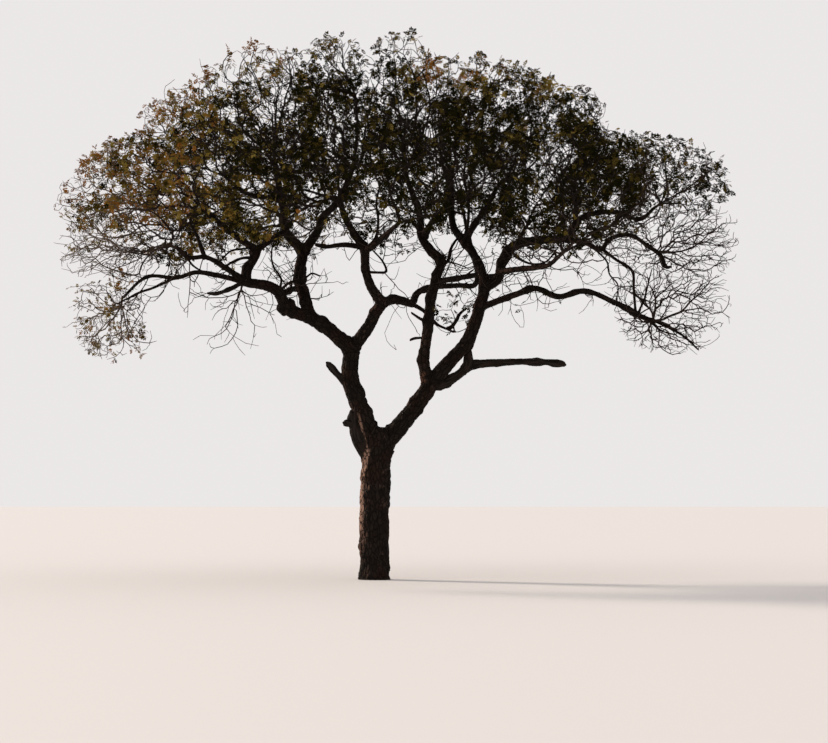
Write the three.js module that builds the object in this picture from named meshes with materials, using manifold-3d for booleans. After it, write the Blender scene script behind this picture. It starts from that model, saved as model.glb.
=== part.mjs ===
// A marula tree: one tall trunk that forks low, gnarled boughs, and a wide flat-topped crown of open twigs.
// Millimetres, +Z up. The origin is the middle of the flat cut at the trunk's foot. +Y points to the back.
import * as THREE from "three";
import { mergeVertices } from "three/addons/utils/BufferGeometryUtils.js";
import Module from "manifold-3d";

const wasm = await Module();
wasm.setup();
const Solid = wasm.Manifold;

// The viewer's place. A limb's knees and a mass's centre are [right, up, back]: right and up are where they
// are seen against the trunk, and the point then lies that far back on its line of sight.
const VIEW_DISTANCE = 40000;
const EYE_HEIGHT = 1600;
const EYE_RIGHT = 840;

const GAP = 0.4; // between pieces that meet
const ROUNDNESS = 2.5; // of a mass's space: 2 is an ellipsoid, and more is boxier
const FINE_GAP = 3; // between the spaces of two masses

// Limbs
const RING_STEP = 500;
const COLLAR = 0.22; // how much thicker a limb is where it leaves its parent
const ROOT_FLARE = 0.2;
const ROOT_FLARE_HEIGHT = 260;
const BURL = 210;

// Twigs and sprays
const TWIG_TIP = 14;
const STEM_LENGTH = 160;
const BALANCE = 0.35; // how much a twig prefers a short way back to its stem
const TARGET_TRIES = 14;
const ATTACH_TRIES = 8;
const SPRAY_TRIES = 24;
const FIRST_SEED = 211;
const SEED_STEP = 37;
const SPRAY = { length: 1050, width: 600, thick: 70, offset: 0.16 };
const LEAST_CROSSING = 0.55; // how squarely a twig meets its spray
const END_REACH = 0.82; // ends lie within this share of a space, so that sprays have room

const BARK = new THREE.MeshStandardMaterial({ color: 0x5a4a40, roughness: 0.9, metalness: 0 });
const DEAD_WOOD = new THREE.MeshStandardMaterial({ color: 0x6e625a, roughness: 0.95, metalness: 0 });
const FOLIAGE = new THREE.MeshStandardMaterial({ color: 0x565c2c, roughness: 0.75, metalness: 0 });
const BARE_TWIGS = new THREE.MeshStandardMaterial({ color: 0x5d4f45, roughness: 0.9, metalness: 0 });

/** A point from where it is seen, moved back along its line of sight. */
function place([right, up, back]) {
  const grow = (VIEW_DISTANCE + back) / VIEW_DISTANCE;
  return new THREE.Vector3(
    EYE_RIGHT + (right - EYE_RIGHT) * grow,
    back,
    EYE_HEIGHT + (up - EYE_HEIGHT) * grow,
  );
}

/** Park and Miller's random numbers from 0 to 1, the same for the same seed. */
function randomFrom(seed) {
  let state = seed;
  return () => {
    state = (state * 16807) % 2147483647;
    return state / 2147483647;
  };
}

/** A closed three.js geometry as a solid. */
function solidOf(geometry) {
  const bare = new THREE.BufferGeometry();
  bare.setAttribute("position", geometry.getAttribute("position"));
  bare.setIndex(geometry.index);
  const merged = mergeVertices(bare, 1e-4);
  return new Solid(
    new wasm.Mesh({
      numProp: 3,
      vertProperties: merged.attributes.position.array,
      triVerts: new Uint32Array(merged.index.array),
    }),
  );
}

/** A solid as a named mesh. */
function meshOf(name, solid, material) {
  const { vertProperties, triVerts } = solid.getMesh();
  const geometry = new THREE.BufferGeometry();
  geometry.setAttribute("position", new THREE.BufferAttribute(new Float32Array(vertProperties), 3));
  geometry.setIndex(new THREE.BufferAttribute(new Uint32Array(triVerts), 1));
  geometry.computeVertexNormals();
  const mesh = new THREE.Mesh(geometry, material);
  mesh.name = name;
  return mesh;
}

/** The largest of a solid's separate bodies. */
function largest(solid) {
  return solid.decompose().sort((a, b) => b.volume() - a.volume())[0];
}

/** A closed cylinder bent so that its rings lie at the points, each with its own radius. */
function bentCylinder(points, radii, sides) {
  const last = points.length - 1;
  const geometry = new THREE.CylinderGeometry(1, 1, last, sides, last);
  const tangents = points.map((_, i) =>
    points[Math.min(i + 1, last)].clone().sub(points[Math.max(i - 1, 0)]).normalize(),
  );
  const across = new THREE.Vector3(0, 1, 0);
  if (Math.abs(tangents[0].y) > 0.8) across.set(1, 0, 0);
  const frames = tangents.map((along) => {
    across.addScaledVector(along, -across.dot(along)).normalize();
    return { side: across.clone(), up: new THREE.Vector3().crossVectors(across, along) };
  });
  const position = geometry.getAttribute("position");
  for (let i = 0; i < position.count; i++) {
    const ring = Math.round(position.getY(i) + last / 2);
    const moved = points[ring]
      .clone()
      .addScaledVector(frames[ring].side, position.getX(i) * radii[ring])
      .addScaledVector(frames[ring].up, position.getZ(i) * radii[ring]);
    position.setXYZ(i, moved.x, moved.y, moved.z);
  }
  return solidOf(geometry);
}

/** How far apart two stretches are, each from one point to another. */
function stretchGap(a, b, c, d) {
  const u = b.clone().sub(a);
  const v = d.clone().sub(c);
  const w = a.clone().sub(c);
  const uu = u.dot(u) || 1e-9;
  const vv = v.dot(v) || 1e-9;
  const uv = u.dot(v);
  const spread = uu * vv - uv * uv;
  let s = spread > 1e-6 ? (uv * v.dot(w) - vv * u.dot(w)) / spread : 0;
  s = Math.min(1, Math.max(0, s));
  const t = Math.min(1, Math.max(0, (uv * s + v.dot(w)) / vv));
  s = Math.min(1, Math.max(0, (uv * t - u.dot(w)) / uu));
  return a.clone().addScaledVector(u, s).distanceTo(c.clone().addScaledVector(v, t));
}

// The limbs, in the order that they grow. Each starts on its parent, at the place nearest to its foot, and
// runs through its knees. The radii are at its foot and its tip.
const LIMBS = [
  {
    name: "trunk", radii: [308, 335],
    foot: [0, -120, 0], knees: [[-20, 900, 0], [0, 1870, 0], [40, 3060, 40]],
  },
  {
    name: "dead_stump", on: "trunk", radii: [160, 112], dead: true,
    foot: [-130, 2500, -40], knees: [[-375, 3000, -130], [-450, 3550, -170]],
  },

  // The left stem and what it carries
  {
    name: "left_stem", on: "trunk", radii: [225, 182],
    foot: [-60, 2730, 0], knees: [[-235, 3400, -60], [-400, 3930, -130], [-520, 4220, -170],
      [-540, 4650, -215], [-510, 5060, -250]],
  },
  {
    name: "left_stem_stub", on: "left_stem", radii: [86, 54], dead: true,
    foot: [-520, 4130, -170], knees: [[-840, 4440, -260], [-1015, 4640, -300]],
  },
  {
    name: "low_left_bough", on: "left_stem", radii: [165, 96],
    foot: [-520, 4980, -245], knees: [[-1240, 5560, -520], [-1960, 5890, -880], [-2080, 6180, -1010],
      [-2300, 6325, -1090], [-2880, 6440, -1300]],
  },
  {
    name: "left_reach_bough", on: "low_left_bough", radii: [56, 24],
    foot: [-2860, 6440, -1300],
    knees: [[-3400, 6570, -1450], [-3890, 6645, -1600], [-4320, 6525, -1750], [-4960, 6545, -1800],
      [-5500, 6080, -1700]],
  },
  {
    name: "left_rise_bough", on: "low_left_bough", radii: [66, 32],
    foot: [-2800, 6430, -1280], knees: [[-3290, 6760, -1700], [-3700, 6980, -2100],
      [-4060, 6970, -2350], [-4300, 7160, -2500]],
  },
  {
    name: "inner_left_bough", on: "low_left_bough", radii: [98, 46],
    foot: [-2850, 6430, -1290], knees: [[-2770, 6720, -1210], [-2650, 6920, -1120], [-2590, 7100, -1020],
      [-2970, 7380, -720], [-3640, 7940, -300]],
  },
  {
    name: "inner_rise_bough", on: "inner_left_bough", radii: [80, 58],
    foot: [-2600, 7060, -1040], knees: [[-2330, 7330, -860], [-2050, 7490, -640], [-1850, 7720, -520]],
  },
  {
    name: "dead_prong", on: "low_left_bough", radii: [46, 22], dead: true,
    foot: [-2860, 6440, -1300], knees: [[-3160, 6280, -1420], [-3460, 6175, -1520],
      [-3640, 6185, -1580]],
  },
  {
    name: "back_left_bough", on: "low_left_bough", radii: [66, 42],
    foot: [-2080, 6150, -1000], knees: [[-1830, 6265, -200], [-1580, 6340, 900], [-1600, 6900, 1900],
      [-2000, 7600, 2950]],
  },
  {
    name: "left_upright_bough", on: "low_left_bough", radii: [130, 104],
    foot: [-1390, 5660, -590], knees: [[-1530, 6080, -410], [-1660, 6580, -220], [-1555, 7120, 0]],
  },
  {
    name: "top_left_bough", on: "left_upright_bough", radii: [106, 58],
    foot: [-1555, 7110, 0], knees: [[-1930, 7500, 150], [-2000, 7950, 300], [-2090, 8420, 350],
      [-2160, 8860, 350]],
  },
  {
    name: "left_crown_bough", on: "top_left_bough", radii: [54, 34],
    foot: [-2030, 8260, 330], knees: [[-2430, 8300, 200], [-2800, 8370, 50], [-3120, 8600, 0]],
  },
  {
    name: "top_middle_bough", on: "left_upright_bough", radii: [98, 56],
    foot: [-1560, 7080, 0], knees: [[-1250, 7560, 200], [-1180, 7820, 300], [-790, 8220, 450],
      [-540, 8820, 600]],
  },
  {
    name: "mid_bough", on: "left_stem", radii: [140, 112],
    foot: [-500, 4960, -245], knees: [[-165, 5430, -380], [-15, 5725, -530], [150, 5985, -700]],
  },
  {
    name: "mid_upright_bough", on: "mid_bough", radii: [106, 84],
    foot: [150, 5975, -695], knees: [[-85, 6315, -850], [-205, 6670, -1050], [-230, 7180, -1300]],
  },
  {
    name: "front_left_bough", on: "mid_upright_bough", radii: [84, 50],
    foot: [-230, 7150, -1300], knees: [[-430, 7440, -1550], [-650, 7830, -2000], [-770, 8170, -2500]],
  },
  {
    name: "front_middle_bough", on: "mid_upright_bough", radii: [74, 40],
    foot: [-230, 7120, -1300], knees: [[30, 7300, -1700], [260, 7500, -2250], [480, 7690, -2900]],
  },
  {
    name: "mid_side_bough", on: "mid_upright_bough", radii: [56, 36],
    foot: [-230, 7180, -1300], knees: [[-560, 7240, -1330], [-830, 7235, -1300], [-1060, 7205, -1250],
      [-1290, 7250, -1200]],
  },
  {
    name: "mid_level_bough", on: "mid_bough", radii: [100, 80],
    foot: [140, 5970, -690], knees: [[430, 6050, -350], [800, 5950, 150]],
  },
  {
    name: "back_middle_bough", on: "mid_level_bough", radii: [72, 38],
    foot: [790, 5950, 140],
    knees: [[940, 6210, 700], [1240, 6320, 1200], [1790, 6355, 2100], [2200, 6420, 2900],
      [1950, 7800, 3900]],
  },
  {
    name: "drooping_bough", on: "mid_level_bough", radii: [46, 24],
    foot: [800, 5950, 150], knees: [[1050, 5800, 500], [1350, 5500, 850], [1570, 5400, 1000]],
  },

  // The right stem and what it carries
  {
    name: "right_stem", on: "trunk", radii: [204, 166],
    foot: [150, 2740, 20], knees: [[440, 3180, 60], [850, 3700, 190], [1240, 4260, 300]],
  },
  {
    name: "dead_right_limb", on: "right_stem", radii: [122, 52], dead: true,
    foot: [1200, 4200, 290],
    knees: [[1745, 4400, 450], [2080, 4605, 550], [2690, 4675, 650], [3660, 4690, 800],
      [4090, 4640, 850]],
  },
  {
    name: "upright_bough", on: "right_stem", radii: [128, 98],
    foot: [1150, 4150, 270],
    knees: [[1055, 4720, 150], [1140, 5380, 50], [1210, 6060, 0], [1330, 6540, 0], [1460, 6880, 0]],
  },
  {
    name: "crest_bough", on: "upright_bough", radii: [102, 58],
    foot: [1460, 6880, 0], knees: [[1150, 7190, 50], [1000, 7430, 100], [970, 7880, 150],
      [720, 8600, 250]],
  },
  {
    name: "front_crest_bough", on: "crest_bough", radii: [66, 40],
    foot: [1030, 7400, 100], knees: [[1200, 7700, -400], [1420, 7920, -1000], [1560, 8200, -1700]],
  },
  {
    name: "back_right_bough", on: "upright_bough", radii: [66, 42],
    foot: [1330, 6430, 0],
    knees: [[1740, 6505, 800], [2250, 6585, 1700], [2600, 6570, 2400], [2900, 6950, 2900],
      [3200, 7500, 3200]],
  },
  {
    name: "main_right_bough", on: "right_stem", radii: [155, 122],
    foot: [1240, 4260, 300],
    knees: [[1650, 4740, 280], [1960, 5080, 220], [2160, 5540, 120], [2310, 6010, 40], [2390, 6430, 0]],
  },
  {
    name: "high_right_bough", on: "main_right_bough", radii: [98, 58],
    foot: [2390, 6430, 0], knees: [[2230, 6880, 200], [1950, 7300, 450], [1700, 7640, 650],
      [1650, 8500, 780]],
  },
  {
    name: "upper_right_bough", on: "high_right_bough", radii: [70, 44],
    foot: [1970, 7270, 430], knees: [[2090, 7570, 300], [2300, 7900, 200], [2620, 8440, 150]],
  },
  {
    name: "right_arch_bough", on: "main_right_bough", radii: [106, 88],
    foot: [2380, 6330, 0],
    knees: [[2660, 6490, -100], [2760, 6880, -150], [2900, 7140, -150], [3330, 7310, -100],
      [3980, 7370, 0]],
  },
  {
    name: "right_crown_bough", on: "right_arch_bough", radii: [70, 42],
    foot: [3980, 7370, 0], knees: [[4280, 7560, 120], [4370, 7900, 250], [4340, 8430, 350]],
  },
  {
    name: "right_end_bough", on: "right_crown_bough", radii: [58, 34],
    foot: [4350, 7750, 200], knees: [[4680, 7920, 150], [5230, 7960, 50], [5770, 7810, -100],
      [6080, 8060, -200]],
  },
  {
    name: "right_side_bough", on: "right_arch_bough", radii: [66, 32],
    foot: [3960, 7370, 0],
    knees: [[4560, 7300, -250], [4910, 7140, -450], [5100, 7370, -600], [5550, 7460, -750],
      [5980, 7180, -850]],
  },
  {
    name: "front_right_bough", on: "right_arch_bough", radii: [70, 38],
    foot: [2720, 6600, -140], knees: [[3010, 6700, -700], [3440, 6745, -1400], [3760, 6800, -2000],
      [4000, 7000, -2600]],
  },
  {
    name: "right_low_bough", on: "main_right_bough", radii: [72, 46],
    foot: [2310, 5850, 50],
    knees: [[2670, 6020, -180], [3060, 6165, -400], [3480, 6290, -600], [3980, 6110, -800],
      [4540, 6235, -950], [5180, 5990, -1050], [5850, 5640, -1100]],
  },
];

// The masses. Each fills its own space: a rounded box that reaches so far from its centre, with flat walls
// towards the masses beside it. sprays is how many leafy ends it has, and bare how many ends have lost their
// leaves. Where one twig reaches far past the others, tip is its end.
const MASSES = [
  {
    name: "left_hanging_mass", on: "left_reach_bough", sprays: 9, bare: 2,
    centre: [-5778, 5640, -1500], reach: [820, 1000, 920],
  },
  {
    name: "left_under_mass", on: "dead_prong", sprays: 0, bare: 9,
    centre: [-3000, 5650, -1350], reach: [1250, 800, 850],
  },
  {
    name: "left_low_mass", on: "left_rise_bough", sprays: 5, bare: 9,
    centre: [-5450, 7230, -2000], reach: [1500, 1400, 980],
  },
  {
    name: "left_wide_mass", on: "inner_left_bough", sprays: 15, bare: 1,
    centre: [-4980, 8290, -300], reach: [2000, 2200, 1340], tip: [-6940, 8230, -300],
  },
  {
    name: "left_crown_mass", on: "left_crown_bough", sprays: 13, bare: 0,
    centre: [-3800, 9700, 200], reach: [1320, 2100, 1450],
  },
  {
    name: "top_left_mass", on: "top_left_bough", sprays: 13, bare: 0,
    centre: [-2380, 10100, 300], reach: [1320, 2100, 1700],
  },
  {
    name: "back_left_mass", on: "back_left_bough", sprays: 15, bare: 0,
    centre: [-2900, 8550, 3900], reach: [2300, 2200, 1600],
  },
  {
    name: "top_middle_mass", on: "top_middle_bough", sprays: 12, bare: 0,
    centre: [-890, 10130, 500], reach: [1100, 2100, 1690],
  },
  {
    name: "front_left_mass", on: "front_left_bough", sprays: 15, bare: 0,
    centre: [-2100, 9000, -3500], reach: [2400, 2200, 1600],
  },
  {
    name: "front_middle_mass", on: "front_middle_bough", sprays: 13, bare: 0,
    centre: [450, 9050, -4200], reach: [1800, 1800, 1450],
  },
  {
    name: "back_middle_mass", on: "back_middle_bough", sprays: 14, bare: 0,
    centre: [1000, 8800, 4500], reach: [2100, 2000, 1500],
  },
  {
    name: "drooping_mass", on: "drooping_bough", sprays: 3, bare: 0,
    centre: [1720, 5620, 1100], reach: [480, 550, 450],
  },
  {
    name: "crest_mass", on: "crest_bough", sprays: 13, bare: 0,
    centre: [560, 10320, 200], reach: [1000, 2000, 1830], tip: [760, 11920, 200],
  },
  {
    name: "front_crest_mass", on: "front_crest_bough", sprays: 12, bare: 0,
    centre: [1900, 9300, -2500], reach: [1500, 1800, 1500],
  },
  {
    name: "back_right_mass", on: "back_right_bough", sprays: 14, bare: 0,
    centre: [4100, 8550, 3900], reach: [2200, 2200, 1550],
  },
  {
    name: "high_right_mass", on: "high_right_bough", sprays: 12, bare: 0,
    centre: [1790, 9850, 700], reach: [1090, 1900, 1710],
  },
  {
    name: "upper_right_mass", on: "upper_right_bough", sprays: 12, bare: 0,
    centre: [3090, 9740, 200], reach: [1210, 1900, 1640],
  },
  {
    name: "right_crown_mass", on: "right_crown_bough", sprays: 11, bare: 0,
    centre: [4320, 9400, 200], reach: [1130, 1900, 1320],
  },
  {
    name: "right_end_mass", on: "right_end_bough", sprays: 12, bare: 2,
    centre: [6180, 8620, -100], reach: [1600, 2000, 1080],
  },
  {
    name: "right_side_mass", on: "right_side_bough", sprays: 2, bare: 11,
    centre: [6640, 7270, -700], reach: [1300, 1600, 920], tip: [7900, 7340, -700],
  },
  {
    name: "front_right_mass", on: "front_right_bough", sprays: 14, bare: 0,
    centre: [4300, 8400, -3400], reach: [2100, 2200, 1500],
  },
  {
    name: "right_low_mass", on: "right_low_bough", sprays: 0, bare: 15,
    centre: [6430, 5920, -1000], reach: [1270, 1500, 1080],
  },
];

/** A limb's axis, its rings and its solid, with a slightly thicker solid that cuts what meets it. */
function growLimb({ name, on, foot, knees, radii }, grown) {
  const parent = grown.get(on);
  const start = parent ? nearestOn(parent.axis, place(foot)) : place(foot);
  const curve = new THREE.CatmullRomCurve3([start, ...knees.map(place)], false, "centripetal");
  const length = curve.getLength();
  const steps = Math.max(4, Math.round(length / RING_STEP));
  const axis = curve.getSpacedPoints(steps);
  const radiusAt = (share) => {
    const plain = THREE.MathUtils.lerp(radii[0], radii[1], share);
    if (!parent) return plain * (1 + ROOT_FLARE * Math.exp(-(share * length) / ROOT_FLARE_HEIGHT));
    return plain * (1 + COLLAR * Math.exp(-(share * length) / (1.6 * radii[0])));
  };
  const rings = axis.map((_, i) => radiusAt(i / steps));
  const sides = radii[0] > 150 ? 12 : radii[0] > 90 ? 8 : 6;
  const tip = axis[steps];
  const heading = tip.clone().sub(axis[steps - 1]).normalize();
  return {
    name, axis, rings, tip, heading,
    solid: bentCylinder(axis, rings, sides),
    cutter: bentCylinder(reachOut(axis, GAP), rings.map((r) => r + GAP), sides),
  };
}

/** An axis made longer at both ends. */
function reachOut(axis, extra) {
  const longer = axis.map((point) => point.clone());
  longer[0].add(axis[0].clone().sub(axis[1]).setLength(extra));
  longer.at(-1).add(axis.at(-1).clone().sub(axis.at(-2)).setLength(extra));
  return longer;
}

/** The point of an axis, between its rings too, that is nearest to a point. */
function nearestOn(axis, point) {
  let best = axis[0];
  for (let i = 1; i < axis.length; i++) {
    const near = new THREE.Line3(axis[i - 1], axis[i]).closestPointToPoint(point, true, new THREE.Vector3());
    if (near.distanceTo(point) < best.distanceTo(point)) best = near;
  }
  return best;
}

/** Whether two solids' boxes overlap. */
function boxesMeet(a, b) {
  const one = a.boundingBox();
  const two = b.boundingBox();
  return [0, 1, 2].every((k) => one.min[k] <= two.max[k] && two.min[k] <= one.max[k]);
}

/** Every limb, each cut clear of those that grew before it. */
function growLimbs() {
  const grown = new Map();
  for (const plan of LIMBS) {
    const limb = growLimb(plan, grown);
    if (plan.name === "trunk") limb.solid = cutAtGround(limb.solid);
    if (plan.name === "low_left_bough") limb.solid = limb.solid.add(burlOn(limb.axis));
    for (const other of grown.values())
      if (boxesMeet(limb.solid, other.cutter)) limb.solid = limb.solid.subtract(other.cutter);
    limb.solid = largest(limb.solid);
    if (plan.name === "low_left_bough") limb.cutter = limb.cutter.add(burlOn(limb.axis, GAP));
    grown.set(plan.name, limb);
  }
  return grown;
}

/** The trunk above the ground, with a flat cut at its foot. */
function cutAtGround(trunk) {
  const side = 3000;
  const block = new THREE.BoxGeometry(side, side, side).translate(0, 0, -side / 2);
  return trunk.subtract(solidOf(block));
}

/** The swelling under the low left bough, where it turns upwards. */
function burlOn(axis, extra = 0) {
  const middle = nearestOn(axis, place([-1980, 5840, -880]));
  const lump = new THREE.IcosahedronGeometry(BURL + extra, 1);
  lump.scale(0.8, 0.9, 1).translate(middle.x, middle.y, middle.z - BURL * 0.35);
  return solidOf(lump);
}

/** Each mass's space: centre, reach, and the walls between it and the spaces that it would overlap. */
function shareSpaces() {
  const spaces = MASSES.map(({ centre, reach }) => ({
    centre: place(centre),
    reach: new THREE.Vector3(...reach),
    walls: [],
  }));
  const extent = (space, way) => 1.1 * way.clone().multiply(space.reach).length();
  for (const one of spaces)
    for (const two of spaces) {
      if (one === two) continue;
      const way = two.centre.clone().sub(one.centre);
      const distance = way.length();
      way.divideScalar(distance);
      const a = extent(one, way);
      const b = extent(two, way);
      if (a + b > distance) one.walls.push({ way, at: (distance * a) / (a + b) - FINE_GAP / 2 });
    }
  return spaces;
}

/** Whether a point is inside a space, or inside a share of it round the same centre. */
function holds({ centre, reach, walls }, point, share = 1) {
  const out = point.clone().sub(centre).divideScalar(share);
  const [x, y, z] = out.clone().divide(reach).toArray().map(Math.abs);
  if (x ** ROUNDNESS + y ** ROUNDNESS + z ** ROUNDNESS > 1) return false;
  return walls.every(({ way, at }) => out.dot(way) <= at);
}

/** A random point of a space, most often in its outer part. */
function pointIn(space, random) {
  for (;;) {
    const way = new THREE.Vector3(random() - 0.5, random() - 0.5, random() - 0.5).multiplyScalar(2);
    const size = way.length();
    if (size > 1 || size < 0.05) continue;
    const point = way.multiplyScalar(Math.sqrt(size) / size).multiply(space.reach).add(space.centre);
    if (holds(space, point, END_REACH)) return point;
  }
}

/** Points spread evenly through a space, after those that are given. Each new one is the best of some tries. */
function spreadPoints(space, count, given, random) {
  const points = [...given];
  while (points.length < count) {
    let best = null;
    let room = -1;
    for (let n = 0; n < TARGET_TRIES; n++) {
      const point = pointIn(space, random);
      const nearest = Math.min(1e6, ...points.map((other) => other.distanceTo(point)));
      if (nearest > room) {
        room = nearest;
        best = point;
      }
    }
    points.push(best);
  }
  return points;
}

/** Whether a stretch of this radius would touch a limb. */
function touches(from, to, radius, limbs) {
  for (const { axis, rings } of limbs)
    for (let i = 1; i < axis.length; i++) {
      const clear = radius + Math.max(rings[i - 1], rings[i]) + 2;
      if (stretchGap(from, to, axis[i - 1], axis[i]) < clear) return true;
    }
  return false;
}

/** A mass's twigs: each end joins the twig with the shortest way to it, counting the way from the stem. */
function growTwigs(root, ends, limbs, thick) {
  const twigs = [{ point: root, parent: null, path: 0, tips: 0 }];
  const waiting = new Set(ends);
  while (waiting.size) {
    let best = null;
    for (const end of waiting) {
      const ways = twigs
        .map((twig) => ({ end, twig, cost: twig.point.distanceTo(end) + BALANCE * twig.path }))
        .sort((a, b) => a.cost - b.cost)
        .slice(0, ATTACH_TRIES);
      const open = ways.find(({ twig }) => !touches(twig.point, end, thick * 0.6, limbs));
      if (!open) waiting.delete(end);
      else if (!best || open.cost < best.cost) best = open;
    }
    if (!best) break;
    const { end, twig } = best;
    waiting.delete(end);
    twigs.push({ point: end, parent: twig, path: twig.path + twig.point.distanceTo(end), tips: 0 });
  }
  return twigs;
}

/** Gives each twig the count of ends that it carries, and its children. */
function countTips(twigs) {
  for (const twig of twigs) twig.children = [];
  for (const twig of twigs) twig.parent?.children.push(twig);
  for (const twig of [...twigs].reverse())
    twig.tips = Math.max(1, twig.children.reduce((sum, child) => sum + child.tips, 0));
}

/** The chains of twigs: each runs on through the child that carries most, and the others start their own. */
function chainsOf(stem) {
  const chains = [];
  const begin = (from, first) => {
    const chain = [from];
    for (let twig = first; twig; ) {
      chain.push(twig);
      const [main, ...others] = [...twig.children].sort((a, b) => b.tips - a.tips);
      for (const other of others) begin(twig, other);
      twig = main;
    }
    chains.push(chain);
  };
  for (const child of stem.children) begin(stem, child);
  return chains;
}

/** A spray of leaves: a flat eight-faced blade that the twig's end is sunk into, and its corners. It lies
 *  across the twig's way, and a freer one is tilted further and is smaller. */
function sprayAt(end, way, freedom, scale, random) {
  const { length, width, thick, offset } = SPRAY;
  const tilt = 0.7 + freedom;
  const size = scale * (1.15 - 0.55 * freedom);
  const up = new THREE.Vector3(random() - 0.5, random() - 0.5, random() - 0.5).multiplyScalar(2 * tilt);
  up.add(way).normalize();
  if (up.dot(way) < LEAST_CROSSING) return null;
  const along = new THREE.Vector3(random() - 0.5, random() - 0.5, random() - 0.5).cross(up).normalize();
  const side = new THREE.Vector3().crossVectors(up, along);
  const frame = new THREE.Matrix4().makeBasis(
    along.clone().multiplyScalar(length * size),
    side.clone().multiplyScalar(width * size),
    up.clone().multiplyScalar(thick),
  );
  frame.setPosition(end.clone().addScaledVector(along, length * size * offset));
  const blade = new THREE.OctahedronGeometry(0.5).applyMatrix4(frame);
  const position = blade.getAttribute("position");
  const corners = [];
  for (let i = 0; i < position.count; i++) corners.push(new THREE.Vector3().fromBufferAttribute(position, i));
  return { blade, corners };
}

/** Whether any corner of a spray comes near a limb, seen from the twig's end. */
function sprayTouches(end, { corners }, limbs) {
  return corners.some((corner) => touches(end, corner, SPRAY.thick, limbs));
}

/** One mass: its stem, twigs and sprays, fused into one solid inside its space. */
function growMass({ name, on, sprays, bare, tip }, space, limbs, seed) {
  const random = randomFrom(seed);
  const bough = limbs.get(on);
  const others = [...limbs.values()];
  const thick = bough.rings.at(-1);
  const foot = bough.tip.clone().addScaledVector(bough.heading, GAP);
  const stem = bough.tip.clone().addScaledVector(bough.heading, STEM_LENGTH);
  const ends = spreadPoints(space, sprays + bare, tip ? [place(tip)] : [], random);
  const twigs = growTwigs(stem, ends, others, thick);
  countTips(twigs);
  const swell = Math.log(thick / TWIG_TIP) / Math.log(twigs[0].tips);
  const radiusOf = (tips) => TWIG_TIP * tips ** swell;
  const chains = chainsOf(twigs[0]);
  const main = chains.reduce((a, b) => (b[1].tips > a[1].tips ? b : a));
  const solids = chains.map((chain) => {
    const points = chain.map((twig) => twig.point);
    const radii = chain.map(({ tips }) => radiusOf(tips));
    radii[0] = Math.min(radii[1], radii[0] / 2);
    if (chain === main) {
      points.unshift(foot);
      radii.unshift(thick);
    }
    return bentCylinder(points, radii, 3);
  });
  const scale = Math.min(1, space.reach.x / SPRAY.length);
  let left = sprays;
  const leafy = twigs.slice(1).sort((a, b) => a.tips - b.tips || b.point.z - a.point.z);
  for (const twig of leafy) {
    if (left <= 0) break;
    for (let turn = 0; turn < SPRAY_TRIES; turn++) {
      const way = twig.point.clone().sub(twig.parent.point).normalize();
      const spray = sprayAt(twig.point, way, turn / SPRAY_TRIES, scale, random);
      if (!spray?.corners.every((corner) => holds(space, corner))) continue;
      if (sprayTouches(twig.point, spray, others)) continue;
      solids.push(solidOf(spray.blade));
      left--;
      break;
    }
  }
  return largest(Solid.union(solids).subtract(bough.cutter));
}

const tree = new THREE.Group();
const limbs = growLimbs();
for (const { name, dead } of LIMBS) tree.add(meshOf(name, limbs.get(name).solid, dead ? DEAD_WOOD : BARK));
const spaces = shareSpaces();
MASSES.forEach((plan, i) => {
  const solid = growMass(plan, spaces[i], limbs, FIRST_SEED + SEED_STEP * i);
  tree.add(meshOf(plan.name, solid, plan.sprays > plan.bare ? FOLIAGE : BARE_TWIGS));
});

export default tree;
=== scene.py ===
"""A marula tree: one tall trunk that forks low, gnarled boughs, and a wide flat-topped crown of open twigs.

Metres, +Z up. The origin is the middle of the flat cut at the trunk's foot, and +Y points to the back.
"""

import math

import bpy
import numpy as np
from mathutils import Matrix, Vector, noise


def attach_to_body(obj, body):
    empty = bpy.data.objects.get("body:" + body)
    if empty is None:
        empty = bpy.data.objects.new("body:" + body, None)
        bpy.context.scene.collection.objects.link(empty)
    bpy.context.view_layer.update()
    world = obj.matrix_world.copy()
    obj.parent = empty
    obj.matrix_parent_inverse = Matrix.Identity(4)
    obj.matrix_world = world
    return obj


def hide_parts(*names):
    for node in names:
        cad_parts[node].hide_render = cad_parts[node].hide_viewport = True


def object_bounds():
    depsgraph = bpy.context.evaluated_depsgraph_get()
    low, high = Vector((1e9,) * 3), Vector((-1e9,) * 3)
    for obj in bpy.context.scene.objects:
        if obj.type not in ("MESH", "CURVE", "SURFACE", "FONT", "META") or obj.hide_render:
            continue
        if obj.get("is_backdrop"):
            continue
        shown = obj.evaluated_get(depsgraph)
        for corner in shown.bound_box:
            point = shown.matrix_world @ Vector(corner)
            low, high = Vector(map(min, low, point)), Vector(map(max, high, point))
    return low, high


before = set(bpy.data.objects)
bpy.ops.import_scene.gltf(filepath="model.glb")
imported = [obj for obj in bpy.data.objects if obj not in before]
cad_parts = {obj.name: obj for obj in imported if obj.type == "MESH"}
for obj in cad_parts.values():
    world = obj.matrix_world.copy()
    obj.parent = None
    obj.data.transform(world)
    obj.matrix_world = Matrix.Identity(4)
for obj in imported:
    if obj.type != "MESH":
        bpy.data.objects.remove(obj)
cad_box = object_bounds()

# The camera. It stands at eye height, 40 m in front of the tree and a little to its right, and looks
# slightly up, so that the whole tree is in view.
VIEW_DISTANCE = 40.0
EYE_HEIGHT = 1.6
EYE_RIGHT = 0.84
LOOK_UP = 94.12
LENS = 80.5

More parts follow.
